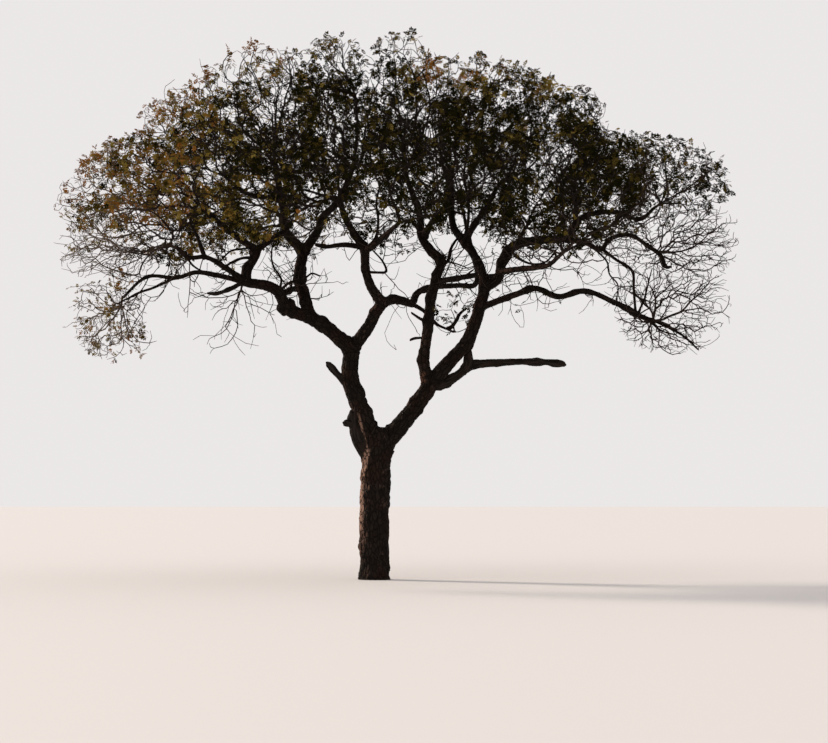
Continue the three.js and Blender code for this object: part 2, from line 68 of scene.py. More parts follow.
bpy.ops.object.select_all(action="DESELECT")
bpy.ops.object.camera_add(
    location=(EYE_RIGHT, -VIEW_DISTANCE, EYE_HEIGHT), rotation=(math.radians(LOOK_UP), 0, 0)
)
camera = bpy.context.object
camera.data.sensor_width = 36
camera.data.lens = LENS
camera.data.clip_end = 4000
bpy.context.scene.camera = camera

# Light and floor. A pale studio: an even pale sky, a broad warm light from high on the left behind the
# crown, a weak one from the front left, and a matt floor that runs out to the sky.
SKY = (0.90, 0.87, 0.87, 1)
SKY_STRENGTH = 0.92
FLOOR = (0.55, 0.53, 0.52, 1)


def add_soft_sun(name, way, strength, spread, colour):
    """A light from far away that shines along a way, with a wide soft edge."""
    bpy.ops.object.light_add(type="SUN")
    light = bpy.context.object
    light.name = name
    flat = math.hypot(way[0], way[1])
    light.rotation_euler = (math.atan2(flat, -way[2]), 0, math.atan2(way[1], way[0]) - math.pi / 2)
    light.data.energy = strength
    light.data.angle = math.radians(spread)
    light.data.color = colour


add_soft_sun("back_key", (0.76, -0.46, -0.50), strength=3.8, spread=10, colour=(1, 0.88, 0.76))
add_soft_sun("front_fill", (0.45, 0.75, -0.5), strength=0.35, spread=60, colour=(1, 0.97, 0.95))

world = bpy.context.scene.world or bpy.data.worlds.new("studio")
bpy.context.scene.world = world
world.use_nodes = True
world.node_tree.nodes["Background"].inputs["Color"].default_value = SKY
world.node_tree.nodes["Background"].inputs["Strength"].default_value = SKY_STRENGTH
bpy.context.scene.view_settings.view_transform = "Standard"

bpy.ops.mesh.primitive_plane_add(size=3000)
floor = bpy.context.object
floor.name = "studio_floor"
floor_paint = bpy.data.materials.new("floor_paint")
floor_paint.use_nodes = True
floor_paint.node_tree.nodes["Principled BSDF"].inputs["Base Color"].default_value = FLOOR
floor_paint.node_tree.nodes["Principled BSDF"].inputs["Roughness"].default_value = 0.9
floor.data.materials.append(floor_paint)
floor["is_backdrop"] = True

# Trunk, stems and great boughs. One living piece of hardwood under mottled bark: limbs flow into each
# other with thick webs in their forks, and knots and old scars swell along them.
BURL = 0.21
AXIS_STEP = 0.06
RING_STEP = 0.5
COLLAR = 0.22
ROOT_FLARE = 0.2
ROOT_FLARE_HEIGHT = 0.26
COLLAR_LENGTH = 1.6
SWELLS = ((0.085, 0.34, 0.0), (0.035, 0.12, 3.7))
PLATE = 0.085
CRACK_DEPTH = 0.016
KNOTS = 70

# Each limb: its parent, its radii at foot and tip, its foot, and its knees, as [right, up, back] in
# millimetres. Right and up are where they are seen against the trunk.
LIMBS = {
    "trunk": (None, (308, 335), (0, -120, 0), [(-20, 900, 0), (0, 1870, 0), (40, 3060, 40)]),
    "dead_stump": ("trunk", (160, 112), (-130, 2500, -40), [(-375, 3000, -130), (-450, 3550, -170)]),
    "left_stem": ("trunk", (225, 182), (-60, 2730, 0), [
        (-235, 3400, -60), (-400, 3930, -130), (-520, 4220, -170), (-540, 4650, -215),
        (-510, 5060, -250)]),
    "left_stem_stub": ("left_stem", (86, 54), (-520, 4130, -170), [
        (-840, 4440, -260), (-1015, 4640, -300)]),
    "low_left_bough": ("left_stem", (165, 96), (-520, 4980, -245), [
        (-1240, 5560, -520), (-1960, 5890, -880), (-2080, 6180, -1010), (-2300, 6325, -1090),
        (-2880, 6440, -1300)]),
    "left_reach_bough": ("low_left_bough", (56, 24), (-2860, 6440, -1300), [
        (-3400, 6570, -1450), (-3890, 6645, -1600), (-4320, 6525, -1750), (-4960, 6545, -1800),
        (-5500, 6080, -1700)]),
    "left_rise_bough": ("low_left_bough", (66, 32), (-2800, 6430, -1280), [
        (-3290, 6760, -1700), (-3700, 6980, -2100), (-4060, 6970, -2350), (-4300, 7160, -2500)]),
    "inner_left_bough": ("low_left_bough", (98, 46), (-2850, 6430, -1290), [
        (-2770, 6720, -1210), (-2650, 6920, -1120), (-2590, 7100, -1020), (-2970, 7380, -720),
        (-3640, 7940, -300)]),
    "inner_rise_bough": ("inner_left_bough", (80, 58), (-2600, 7060, -1040), [
        (-2330, 7330, -860), (-2050, 7490, -640), (-1850, 7720, -520)]),
    "dead_prong": ("low_left_bough", (46, 22), (-2860, 6440, -1300), [
        (-3160, 6280, -1420), (-3460, 6175, -1520), (-3640, 6185, -1580)]),
    "back_left_bough": ("low_left_bough", (66, 42), (-2080, 6150, -1000), [
        (-1830, 6265, -200), (-1580, 6340, 900), (-1600, 6900, 1900), (-2000, 7600, 2950)]),
    "left_upright_bough": ("low_left_bough", (130, 104), (-1390, 5660, -590), [
        (-1530, 6080, -410), (-1660, 6580, -220), (-1555, 7120, 0)]),
    "top_left_bough": ("left_upright_bough", (106, 58), (-1555, 7110, 0), [
        (-1930, 7500, 150), (-2000, 7950, 300), (-2090, 8420, 350), (-2160, 8860, 350)]),
    "left_crown_bough": ("top_left_bough", (54, 34), (-2030, 8260, 330), [
        (-2430, 8300, 200), (-2800, 8370, 50), (-3120, 8600, 0)]),
    "top_middle_bough": ("left_upright_bough", (98, 56), (-1560, 7080, 0), [
        (-1250, 7560, 200), (-1180, 7820, 300), (-790, 8220, 450), (-540, 8820, 600)]),
    "mid_bough": ("left_stem", (140, 112), (-500, 4960, -245), [
        (-165, 5430, -380), (-15, 5725, -530), (150, 5985, -700)]),
    "mid_upright_bough": ("mid_bough", (106, 84), (150, 5975, -695), [
        (-85, 6315, -850), (-205, 6670, -1050), (-230, 7180, -1300)]),
    "front_left_bough": ("mid_upright_bough", (84, 50), (-230, 7150, -1300), [
        (-430, 7440, -1550), (-650, 7830, -2000), (-770, 8170, -2500)]),
    "front_middle_bough": ("mid_upright_bough", (74, 40), (-230, 7120, -1300), [
        (30, 7300, -1700), (260, 7500, -2250), (480, 7690, -2900)]),
    "mid_side_bough": ("mid_upright_bough", (56, 36), (-230, 7180, -1300), [
        (-560, 7240, -1330), (-830, 7235, -1300), (-1060, 7205, -1250), (-1290, 7250, -1200)]),
    "mid_level_bough": ("mid_bough", (100, 80), (140, 5970, -690), [(430, 6050, -350), (800, 5950, 150)]),
    "back_middle_bough": ("mid_level_bough", (72, 38), (790, 5950, 140), [
        (940, 6210, 700), (1240, 6320, 1200), (1790, 6355, 2100), (2200, 6420, 2900),
        (1950, 7800, 3900)]),
    "drooping_bough": ("mid_level_bough", (46, 24), (800, 5950, 150), [
        (1050, 5800, 500), (1350, 5500, 850), (1570, 5400, 1000)]),
    "right_stem": ("trunk", (204, 166), (150, 2740, 20), [
        (440, 3180, 60), (850, 3700, 190), (1240, 4260, 300)]),
    "dead_right_limb": ("right_stem", (106, 52), (1200, 4165, 290), [
        (1460, 4225, 370), (1745, 4365, 450), (2080, 4600, 550), (2690, 4675, 650), (3660, 4690, 800),
        (4090, 4640, 850)]),
    "upright_bough": ("right_stem", (128, 98), (1150, 4150, 270), [
        (1055, 4720, 150), (1140, 5380, 50), (1210, 6060, 0), (1330, 6540, 0), (1460, 6880, 0)]),
    "crest_bough": ("upright_bough", (102, 58), (1460, 6880, 0), [
        (1150, 7190, 50), (1000, 7430, 100), (970, 7880, 150), (720, 8600, 250)]),
    "front_crest_bough": ("crest_bough", (66, 40), (1030, 7400, 100), [
        (1200, 7700, -400), (1420, 7920, -1000), (1560, 8200, -1700)]),
    "back_right_bough": ("upright_bough", (66, 42), (1330, 6430, 0), [
        (1740, 6505, 800), (2250, 6585, 1700), (2600, 6570, 2400), (2900, 6950, 2900),
        (3200, 7500, 3200)]),
    "main_right_bough": ("right_stem", (155, 122), (1240, 4260, 300), [
        (1650, 4740, 280), (1960, 5080, 220), (2160, 5540, 120), (2310, 6010, 40), (2390, 6430, 0)]),
    "high_right_bough": ("main_right_bough", (98, 58), (2390, 6430, 0), [
        (2230, 6880, 200), (1950, 7300, 450), (1700, 7640, 650), (1650, 8500, 780)]),
    "upper_right_bough": ("high_right_bough", (70, 44), (1970, 7270, 430), [
        (2090, 7570, 300), (2300, 7900, 200), (2620, 8440, 150)]),
    "right_arch_bough": ("main_right_bough", (106, 88), (2380, 6330, 0), [
        (2660, 6490, -100), (2760, 6880, -150), (2900, 7140, -150), (3330, 7310, -100), (3980, 7370, 0)]),
    "right_crown_bough": ("right_arch_bough", (70, 42), (3980, 7370, 0), [
        (4280, 7560, 120), (4370, 7900, 250), (4340, 8430, 350)]),
    "right_end_bough": ("right_crown_bough", (58, 34), (4350, 7750, 200), [
        (4680, 7920, 150), (5230, 7960, 50), (5770, 7810, -100), (6080, 8060, -200)]),
    "right_side_bough": ("right_arch_bough", (66, 32), (3960, 7370, 0), [
        (4560, 7300, -250), (4910, 7140, -450), (5100, 7370, -600), (5550, 7460, -750),
        (5980, 7180, -850)]),
    "front_right_bough": ("right_arch_bough", (70, 38), (2720, 6600, -140), [
        (3010, 6700, -700), (3440, 6745, -1400), (3760, 6800, -2000), (4000, 7000, -2600)]),
    "right_low_bough": ("main_right_bough", (72, 46), (2310, 5850, 50), [
        (2670, 6020, -180), (3060, 6165, -400), (3480, 6290, -600), (3980, 6110, -800),
        (4540, 6235, -950), (5180, 5990, -1050), (5850, 5640, -1100)]),
}


def place(seen):
    """A point in metres, from where it is seen, moved back along its line of sight."""
    right, up, back = np.array(seen, float) / 1000
    grow = (VIEW_DISTANCE + back) / VIEW_DISTANCE
    return np.array([EYE_RIGHT + (right - EYE_RIGHT) * grow, back, EYE_HEIGHT + (up - EYE_HEIGHT) * grow])


def seen(points):
    """Where points in metres are seen against the trunk: right and up."""
    shrink = VIEW_DISTANCE / (VIEW_DISTANCE + points[..., 1])
    return np.stack([
        EYE_RIGHT + (points[..., 0] - EYE_RIGHT) * shrink,
        EYE_HEIGHT + (points[..., 2] - EYE_HEIGHT) * shrink,
    ], axis=-1)


def unit(vectors):
    """Vectors of length one."""
    return vectors / np.maximum(np.linalg.norm(vectors, axis=-1, keepdims=True), 1e-12)


class SmoothWay:
    """The centripetal curve through some points, which gives points spaced evenly along it."""

    def __init__(self, points):
        self.points = np.vstack([2 * points[0] - points[1], points, 2 * points[-1] - points[-2]])
        self.times = np.linspace(0, 1, 201)
        steps = np.linalg.norm(np.diff(self.at(self.times), axis=0), axis=1)
        self.lengths = np.concatenate([[0], np.cumsum(steps)])
        self.length = self.lengths[-1]

    def at(self, times):
        spans = len(self.points) - 3
        whole = np.minimum((times * spans).astype(int), spans - 1)
        part = (times * spans - whole)[:, None]
        a, b, c, d = (self.points[whole + i] for i in range(4))
        ab, bc, cd = (np.sqrt(np.linalg.norm(q - p, axis=1))[:, None] for p, q in ((a, b), (b, c), (c, d)))
        leave = ((b - a) / ab - (c - a) / (ab + bc) + (c - b) / bc) * bc
        arrive = ((c - b) / bc - (d - b) / (bc + cd) + (d - c) / cd) * bc
        square = -3 * b + 3 * c - 2 * leave - arrive
        cube = 2 * b - 2 * c + leave + arrive
        return b + part * (leave + part * (square + part * cube))

    def spaced(self, steps):
        reached = np.linspace(0, self.length, steps + 1)
        return self.at(np.interp(reached, self.lengths, self.times))


def nearest_on(axis, point):
    """The point of a line of stretches that is nearest to a point."""
    ways = np.diff(axis, axis=0)
    share = np.clip(((point - axis[:-1]) * ways).sum(1) / (ways * ways).sum(1), 0, 1)
    near = axis[:-1] + share[:, None] * ways
    return near[np.argmin(np.linalg.norm(near - point, axis=1))]


def carried_sides(axis):
    """Sideways directions along an axis that turn with it and don't twist."""
    ways = unit(np.gradient(axis, axis=0))
    side = np.array([0.0, 1.0, 0.0]) if abs(ways[0][1]) < 0.8 else np.array([1.0, 0.0, 0.0])
    sides = []
    for way in ways:
        side = unit(side - side @ way * way)
        sides.append(side)
    return np.array(sides), ways


def grow_limb(plan, grown):
    """A limb's coarse rings, which the twigs keep clear of, and its smooth axis with radii."""
    parent_name, radii, foot, knees = plan
    parent = grown.get(parent_name)
    radii = np.array(radii) / 1000
    start = nearest_on(parent["rings"], place(foot)) if parent else place(foot)
    way = SmoothWay(np.array([start, *map(place, knees)]))

    def radius_at(share):
        plain = radii[0] + (radii[1] - radii[0]) * share
        if parent is None:
            return plain * (1 + ROOT_FLARE * np.exp(-share * way.length / ROOT_FLARE_HEIGHT))
        return plain * (1 + COLLAR * np.exp(-share * way.length / (COLLAR_LENGTH * radii[0])))

    coarse = max(4, round(way.length / RING_STEP))
    fine = max(8, round(way.length / AXIS_STEP))
    rings = way.spaced(coarse)
    axis = way.spaced(fine)
    sides, ways = carried_sides(axis)
    return {
        "rings": rings,
        "ring_radii": radius_at(np.linspace(0, 1, coarse + 1)),
        "axis": axis,
        "radii": radius_at(np.linspace(0, 1, fine + 1)),
        "sides": sides,
        "ways": ways,
        "length": way.length,
        "tip": rings[-1],
        "heading": unit(rings[-1] - rings[-2]),
    }


limbs = {}
for limb_name, limb_plan in LIMBS.items():
    limbs[limb_name] = grow_limb(limb_plan, limbs)
wood_from = np.vstack([limb["rings"][:-1] for limb in limbs.values()])
wood_to = np.vstack([limb["rings"][1:] for limb in limbs.values()])
wood_radius = np.concatenate(
    [np.maximum(limb["ring_radii"][:-1], limb["ring_radii"][1:]) for limb in limbs.values()])


def add_limb_tubes(name, members, sides=10):
    """The limbs as round tubes with domed ends, in one object."""
    bpy.ops.object.select_all(action="DESELECT")
    bpy.ops.curve.primitive_nurbs_path_add()
    tubes = bpy.context.object
    tubes.name = name
    tubes.data.splines.clear()
    tubes.data.bevel_depth = 1
    tubes.data.bevel_resolution = sides // 2 - 1
    tubes.data.use_fill_caps = True
    for member in members:
        limb = limbs[member]
        radius = limb["radii"][-1]
        dome = [limb["tip"] + limb["heading"] * radius * out for out in (0.35, 0.55, 0.62)]
        points = np.vstack([limb["axis"], dome])
        radii = np.concatenate([limb["radii"], radius * np.array([0.84, 0.55, 0.2])])
        spline = tubes.data.splines.new("POLY")
        spline.points.add(len(points) - 1)
        spline.points.foreach_set("co", np.column_stack([points, np.ones(len(points))]).ravel())
        spline.points.foreach_set("radius", radii)
    bpy.ops.object.convert(target="MESH")
    return bpy.context.object


def fuse(piece, voxel, rounds):
    """Melts a piece's overlapping bodies into one skin, and rounds the forks."""
    bpy.context.view_layer.objects.active = piece
    skin = piece.modifiers.new("skin", "REMESH")
    skin.mode = "VOXEL"
    skin.voxel_size = voxel
    bpy.ops.object.modifier_apply(modifier=skin.name)
    fillet = piece.modifiers.new("fillet", "SMOOTH")
    fillet.factor = 0.5
    fillet.iterations = rounds
    bpy.ops.object.modifier_apply(modifier=fillet.name)


def read_points(piece, what="co"):
    """A mesh's points or normals as an array."""
    values = np.empty(len(piece.data.vertices) * 3, np.float32)
    piece.data.vertices.foreach_get(what, values)
    return values.reshape(-1, 3).astype(float)


def near_limbs(points, members):
    """For each point: how far it is outside the nearest and the second nearest limb, where it lies on the
    nearest limb as if that were straight, and that limb's radius and remaining length there."""
    count = len(points)
    first, second = np.full(count, 9.0), np.full(count, 9.0)
    straight, facts = np.zeros((count, 3)), np.zeros((count, 3))
    for order, member in enumerate(members):
        limb = limbs[member]
        axis, radii = limb["axis"], limb["radii"]
        reach = radii.max() + 0.4
        inside = np.all((points > axis.min(0) - reach) & (points < axis.max(0) + reach), axis=1)
        chosen = np.flatnonzero(inside)
        near = np.full(len(chosen), 9.0)
        place_on, fact = np.zeros((len(chosen), 3)), np.zeros((len(chosen), 3))
        step = limb["length"] / (len(axis) - 1)
        for i in range(len(axis) - 1):
            way = axis[i + 1] - axis[i]
            share = np.clip((points[chosen] - axis[i]) @ way / (way @ way), 0, 1)
            out = points[chosen] - axis[i] - share[:, None] * way
            radius = radii[i] + share * (radii[i + 1] - radii[i])
            gap = np.linalg.norm(out, axis=1) - radius
            closer = gap < near
            near[closer] = gap[closer]
            side = limb["sides"][i]
            across = np.cross(limb["ways"][i], side)
            along = (i + share[closer]) * step
            place_on[closer] = np.column_stack([out[closer] @ side, out[closer] @ across, along])
            numbers = np.full(closer.sum(), order)
            fact[closer] = np.column_stack([radius[closer], limb["length"] - along, numbers])
        wins = near < first[chosen]
        second[chosen] = np.where(wins, first[chosen], np.minimum(second[chosen], near))
        first[chosen[wins]] = near[wins]
        straight[chosen[wins]] = place_on[wins]
        facts[chosen[wins]] = fact[wins]
    return first, second, straight, facts


def waves(points, size, shift=0.0):
    """Smooth noise between about -1 and 1, with swells of a given size."""
    return np.array([noise.noise(p) for p in (points / size + shift).tolist()]) * 1.4


def plates(points, size):
    """How deep each point lies between the plates of the bark: 1 in a crack and 0 on a plate."""
    cells = (noise.voronoi(p)[0] for p in (points / size).tolist())
    return np.array([max(0.0, 1 - 3.2 * (d[1] - d[0])) for d in cells])


def give_relief(piece, members, web, neighbours=(), jagged=0.0, seed=5):
    """Gives limbs the webs in their forks, swellings, knots and plated bark, and keeps where each point
    lies along its limb for the bark's pattern."""
    points = read_points(piece)
    normals = read_points(piece, "normal")
    first, second, straight, facts = near_limbs(points, members)
    radius, left, order = facts.T
    if neighbours:
        second = np.minimum(second, near_limbs(points, neighbours)[0])
    blend = np.clip(1 - np.abs(second - first) / (web * radius + 1e-6), 0, 1)
    buried = np.clip(1 + second / 0.04, 0, 1)
    push = 0.25 * web * radius * blend**2 * buried
    offset = order[:, None] * 7.3
    for share, size, shift in SWELLS:
        push += share * radius * waves(straight + offset, size, shift)
    stretched = straight * np.array([1, 1, 0.55]) + offset
    push += 0.006 - CRACK_DEPTH * np.minimum(1, radius / 0.2) * plates(stretched, PLATE)
    random = np.random.default_rng(seed)
    for knot in points[random.integers(0, len(points), KNOTS)]:
        size = 0.05 + 0.07 * random.random()
        close = np.linalg.norm(points - knot, axis=1) / size
        push += 0.35 * size * np.exp(-close * close) * np.minimum(1, radius / 0.1)
    if jagged:
        end = np.clip(1 - left / 0.03, 0, 1)
        spikes = waves(straight * np.array([1, 1, 0.1]) + offset, 0.035, 9.1)
        headings = np.array([limbs[member]["heading"] for member in members])[order.astype(int)]
        points += headings * (jagged * end * spikes * radius / 0.1)[:, None]
    moves = normals * push[:, None]
    moves[:, 2] *= np.clip(points[:, 2] / 0.05, 0, 1)
    moved = points + moves
    piece.data.vertices.foreach_set("co", moved.astype(np.float32).ravel())
    piece.data.update()
    grain = piece.data.attributes.new("grain", "FLOAT_VECTOR", "POINT")
    grain.data.foreach_set("vector", (straight + offset).astype(np.float32).ravel())
    piece.data.polygons.foreach_set("use_smooth", np.ones(len(piece.data.polygons), bool))


class Number:
    """A shader socket that takes part in sums: an expression on it adds its Math nodes."""

    def __init__(self, finish, socket):
        self.finish = finish
        self.socket = socket

    def math(self, operation, *values):
        inputs = dict(enumerate(values))
        return self.finish.node("ShaderNodeMath", {"operation": operation}, inputs)

    def __add__(self, other):
        return self.math("ADD", self, other)

    __radd__ = __add__

    def __mul__(self, other):
        return self.math("MULTIPLY", self, other)

    __rmul__ = __mul__

    def __sub__(self, other):
        return self.math("SUBTRACT", self, other)

    def __rsub__(self, other):
        return self.math("SUBTRACT", other, self)

    def between(self, low, high):
        """0 below low, 1 above high, and smooth in between."""
        inputs = {"Value": self, "From Min": low, "From Max": high}
        return self.finish.node("ShaderNodeMapRange", {"interpolation_type": "SMOOTHSTEP"}, inputs)

    def inside(self, rise, fall):
        """1 between two soft edges and 0 outside them."""
        return self.between(*rise) * (1 - self.between(*fall))


class Finish:
    """A procedural material, with one way to add a node."""

    def __init__(self, name, shine, **constants):
        self.material = bpy.data.materials.new(name)
        self.material.use_nodes = True
        self.nodes = self.material.node_tree.nodes
        self.shader = self.nodes["Principled BSDF"]
        self.shader.inputs["Specular IOR Level"].default_value = shine
        self.set(**constants)

    def node(self, kind, settings=None, inputs=None, output=0):
        made = self.nodes.new(kind)
        for name, value in (settings or {}).items():
            setattr(made, name, value)
        for name, value in (inputs or {}).items():
            self.feed(made.inputs[name], value)
        return Number(self, made.outputs[output])

    def feed(self, socket, value):
        if isinstance(value, Number):
            self.material.node_tree.links.new(value.socket, socket)
        else:
            socket.default_value = value

    def set(self, **inputs):
        for name, value in inputs.items():
            self.feed(self.shader.inputs[name.replace("_", " ").title()], value)

    def here(self):
        return self.node("ShaderNodeTexCoord", {}, {}, output="Object")

    def grain(self):
        return self.node("ShaderNodeAttribute", {"attribute_name": "grain"}, {}, output="Vector")

    def part_of(self, vector, axis):
        return self.node("ShaderNodeSeparateXYZ", {}, {0: vector}, output=axis)

    def scaled(self, vector, factors):
        return self.node("ShaderNodeVectorMath", {"operation": "MULTIPLY"}, {0: vector, 1: factors})

    def noise(self, at, scale, detail=3, roughness=0.55):
        return self.node("ShaderNodeTexNoise", {}, {
            "Vector": at, "Scale": scale, "Detail": detail, "Roughness": roughness})

    def mix(self, share, one, two):
        return self.node("ShaderNodeMix", {"data_type": "RGBA"}, {0: share, 6: one, 7: two}, output=2)

    def bump(self, height, strength, distance):
        self.set(Normal=self.node("ShaderNodeBump", {}, {
            "Height": height, "Strength": strength, "Distance": distance}))

    def put_on(self, piece):
        piece.data.materials.clear()
        piece.data.materials.append(self.material)


def bark_finish():
    """Grey-brown plates between dark cracks, with reddish places and pale ones where flakes fell. A strip
    down the trunk's left side is partly bare wood and partly painted highlight; a thin lip between stump and
    stem, left-facing sides and a patch at the foot of the upright bough are painted highlights, and painted
    shade darkens some heights."""
    bark = Finish("marula_bark", shine=0.06)
    grain = bark.grain()
    here = bark.here()
    long_grain = bark.scaled(grain, (1, 1, 0.5))
    cracks = bark.node(
        "ShaderNodeTexVoronoi", {"feature": "DISTANCE_TO_EDGE"}, {"Vector": long_grain, "Scale": 13})
    plate = bark.node("ShaderNodeTexVoronoi", {}, {"Vector": long_grain, "Scale": 13}, output="Color")
    fine = bark.noise(long_grain, 60, 4, 0.65)
    broad = bark.noise(here, 2.2, 3)
    worn = bark.noise(grain, 5.5, 3, 0.6)
    in_crack = 1 - cracks.between(0.0, 0.10)
    by_plate = bark.noise(plate, 3.1, 1).between(0.35, 0.65)
    tone = bark.mix(by_plate, (0.010, 0.0075, 0.0055, 1), (0.024, 0.017, 0.013, 1))
    red = bark.mix(broad.between(0.42, 0.68) * 0.75, tone, (0.030, 0.014, 0.009, 1))
    flaked = worn.between(0.60, 0.70) * (1 - in_crack)
    right = bark.part_of(here, "X")
    height = bark.part_of(here, "Z")
    # Painted highlight: bark whose sides face left is paler and warmer, as if lit from the left.
    facing = bark.node("ShaderNodeTexCoord", {}, {}, output="Normal")
    leftward = 0 - bark.part_of(facing, "X")
    left_side_highlight = leftward.between(0.45, 0.85) * broad.between(0.36, 0.54) * (1 - in_crack)
    # The strip down the trunk's left side is partly bare wood where flakes fell and partly a painted
    # highlight; the thin lip between stump and stem is a painted highlight.
    rise = height - 2.1
    ragged = 0.07 * (bark.noise(here, 3.0, 3, 0.6) - 0.5)
    from_strip = right - 0.19 * rise * rise.between(-0.05, 0.05) + ragged
    strip = from_strip.inside((-0.37, -0.33), (-0.26, -0.22)) * height.inside((0.95, 1.15), (2.7, 2.85))
    from_lip_highlight = right + 0.257 * height - 0.548
    lip_highlight = from_lip_highlight.inside((-0.05, -0.01), (0.01, 0.05)) * height.inside((2.6, 2.7), (3.45, 3.65))
    bare_wood_and_highlight = (strip * worn.between(0.32, 0.44) + lip_highlight * 0.8) * (1 - in_crack * 0.6)
    pale = bark.mix(flaked * 0.5, red, (0.11, 0.068, 0.050, 1))
    pale = bark.mix(left_side_highlight * 0.75, pale, (0.135, 0.074, 0.052, 1))
    pale = bark.mix(bare_wood_and_highlight, pale, (0.42, 0.25, 0.18, 1))
    speckled = bark.mix(fine.between(0.3, 0.75) * 0.55, pale, (0.008, 0.006, 0.005, 1))
    # Painted highlight: a warm patch at the foot of the upright bough, on its side towards the light.
    flat = bark.scaled(here, (1, 0, 1))
    from_fork = bark.node(
        "ShaderNodeVectorMath", {"operation": "DISTANCE"}, {0: flat, 1: (1.0, 0, 4.36)}, output="Value")
    fork_highlight = (1 - from_fork.between(0.08, 0.17)) * worn.between(0.38, 0.50) * (1 - in_crack)
    with_fork_highlight = bark.mix(fork_highlight * 0.9, speckled, (0.15, 0.072, 0.045, 1))
    in_shade = 0.2 + 0.15 * height.between(3.2, 4.2) + 0.3 * height.between(6.2, 7.8)
    shaded = bark.mix(in_shade, with_fork_highlight, (0.006, 0.0045, 0.003, 1))
    bark.set(
        base_color=bark.mix(in_crack * 0.85, shaded, (0.004, 0.003, 0.0025, 1)),
        roughness=0.78 + 0.2 * fine,
    )
    bark.bump(cracks.between(0.0, 0.16) + fine * 0.45, 0.9, 0.018)
    return bark


GREAT_LIMBS = [
    "trunk", "left_stem", "low_left_bough", "left_upright_bough", "mid_bough", "mid_upright_bough",
    "right_stem", "upright_bough", "main_right_bough", "right_arch_bough",
]
trunk_piece = add_limb_tubes("trunk_and_great_boughs", GREAT_LIMBS, sides=16)
burl_place = nearest_on(limbs["low_left_bough"]["rings"], place((-1980, 5840, -880)))
random = np.random.default_rng(12)
lumps = [(place((180, 3010, 40)), 0.19)]
for _ in range(9):
    out = random.uniform((-0.75, -0.7, -0.95), (0.6, 0.5, 0.1)) * BURL
    lumps.append((burl_place + out, BURL * random.uniform(0.28, 0.6)))
for at, size in lumps:
    bpy.ops.mesh.primitive_ico_sphere_add(subdivisions=3, radius=size, location=at)
    trunk_piece.select_set(True)
    bpy.context.view_layer.objects.active = trunk_piece
    bpy.ops.object.join()
fuse(trunk_piece, 0.018, rounds=8)
bpy.ops.object.mode_set(mode="EDIT")
bpy.ops.mesh.select_all(action="SELECT")
bpy.ops.mesh.bisect(plane_co=(0, 0, 0), plane_no=(0, 0, 1), use_fill=True, clear_inner=True)
bpy.ops.object.mode_set(mode="OBJECT")
give_relief(trunk_piece, GREAT_LIMBS, web=0.4)
bark = bark_finish()
bark.put_on(trunk_piece)
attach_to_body(trunk_piece, "root")
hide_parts(*GREAT_LIMBS)

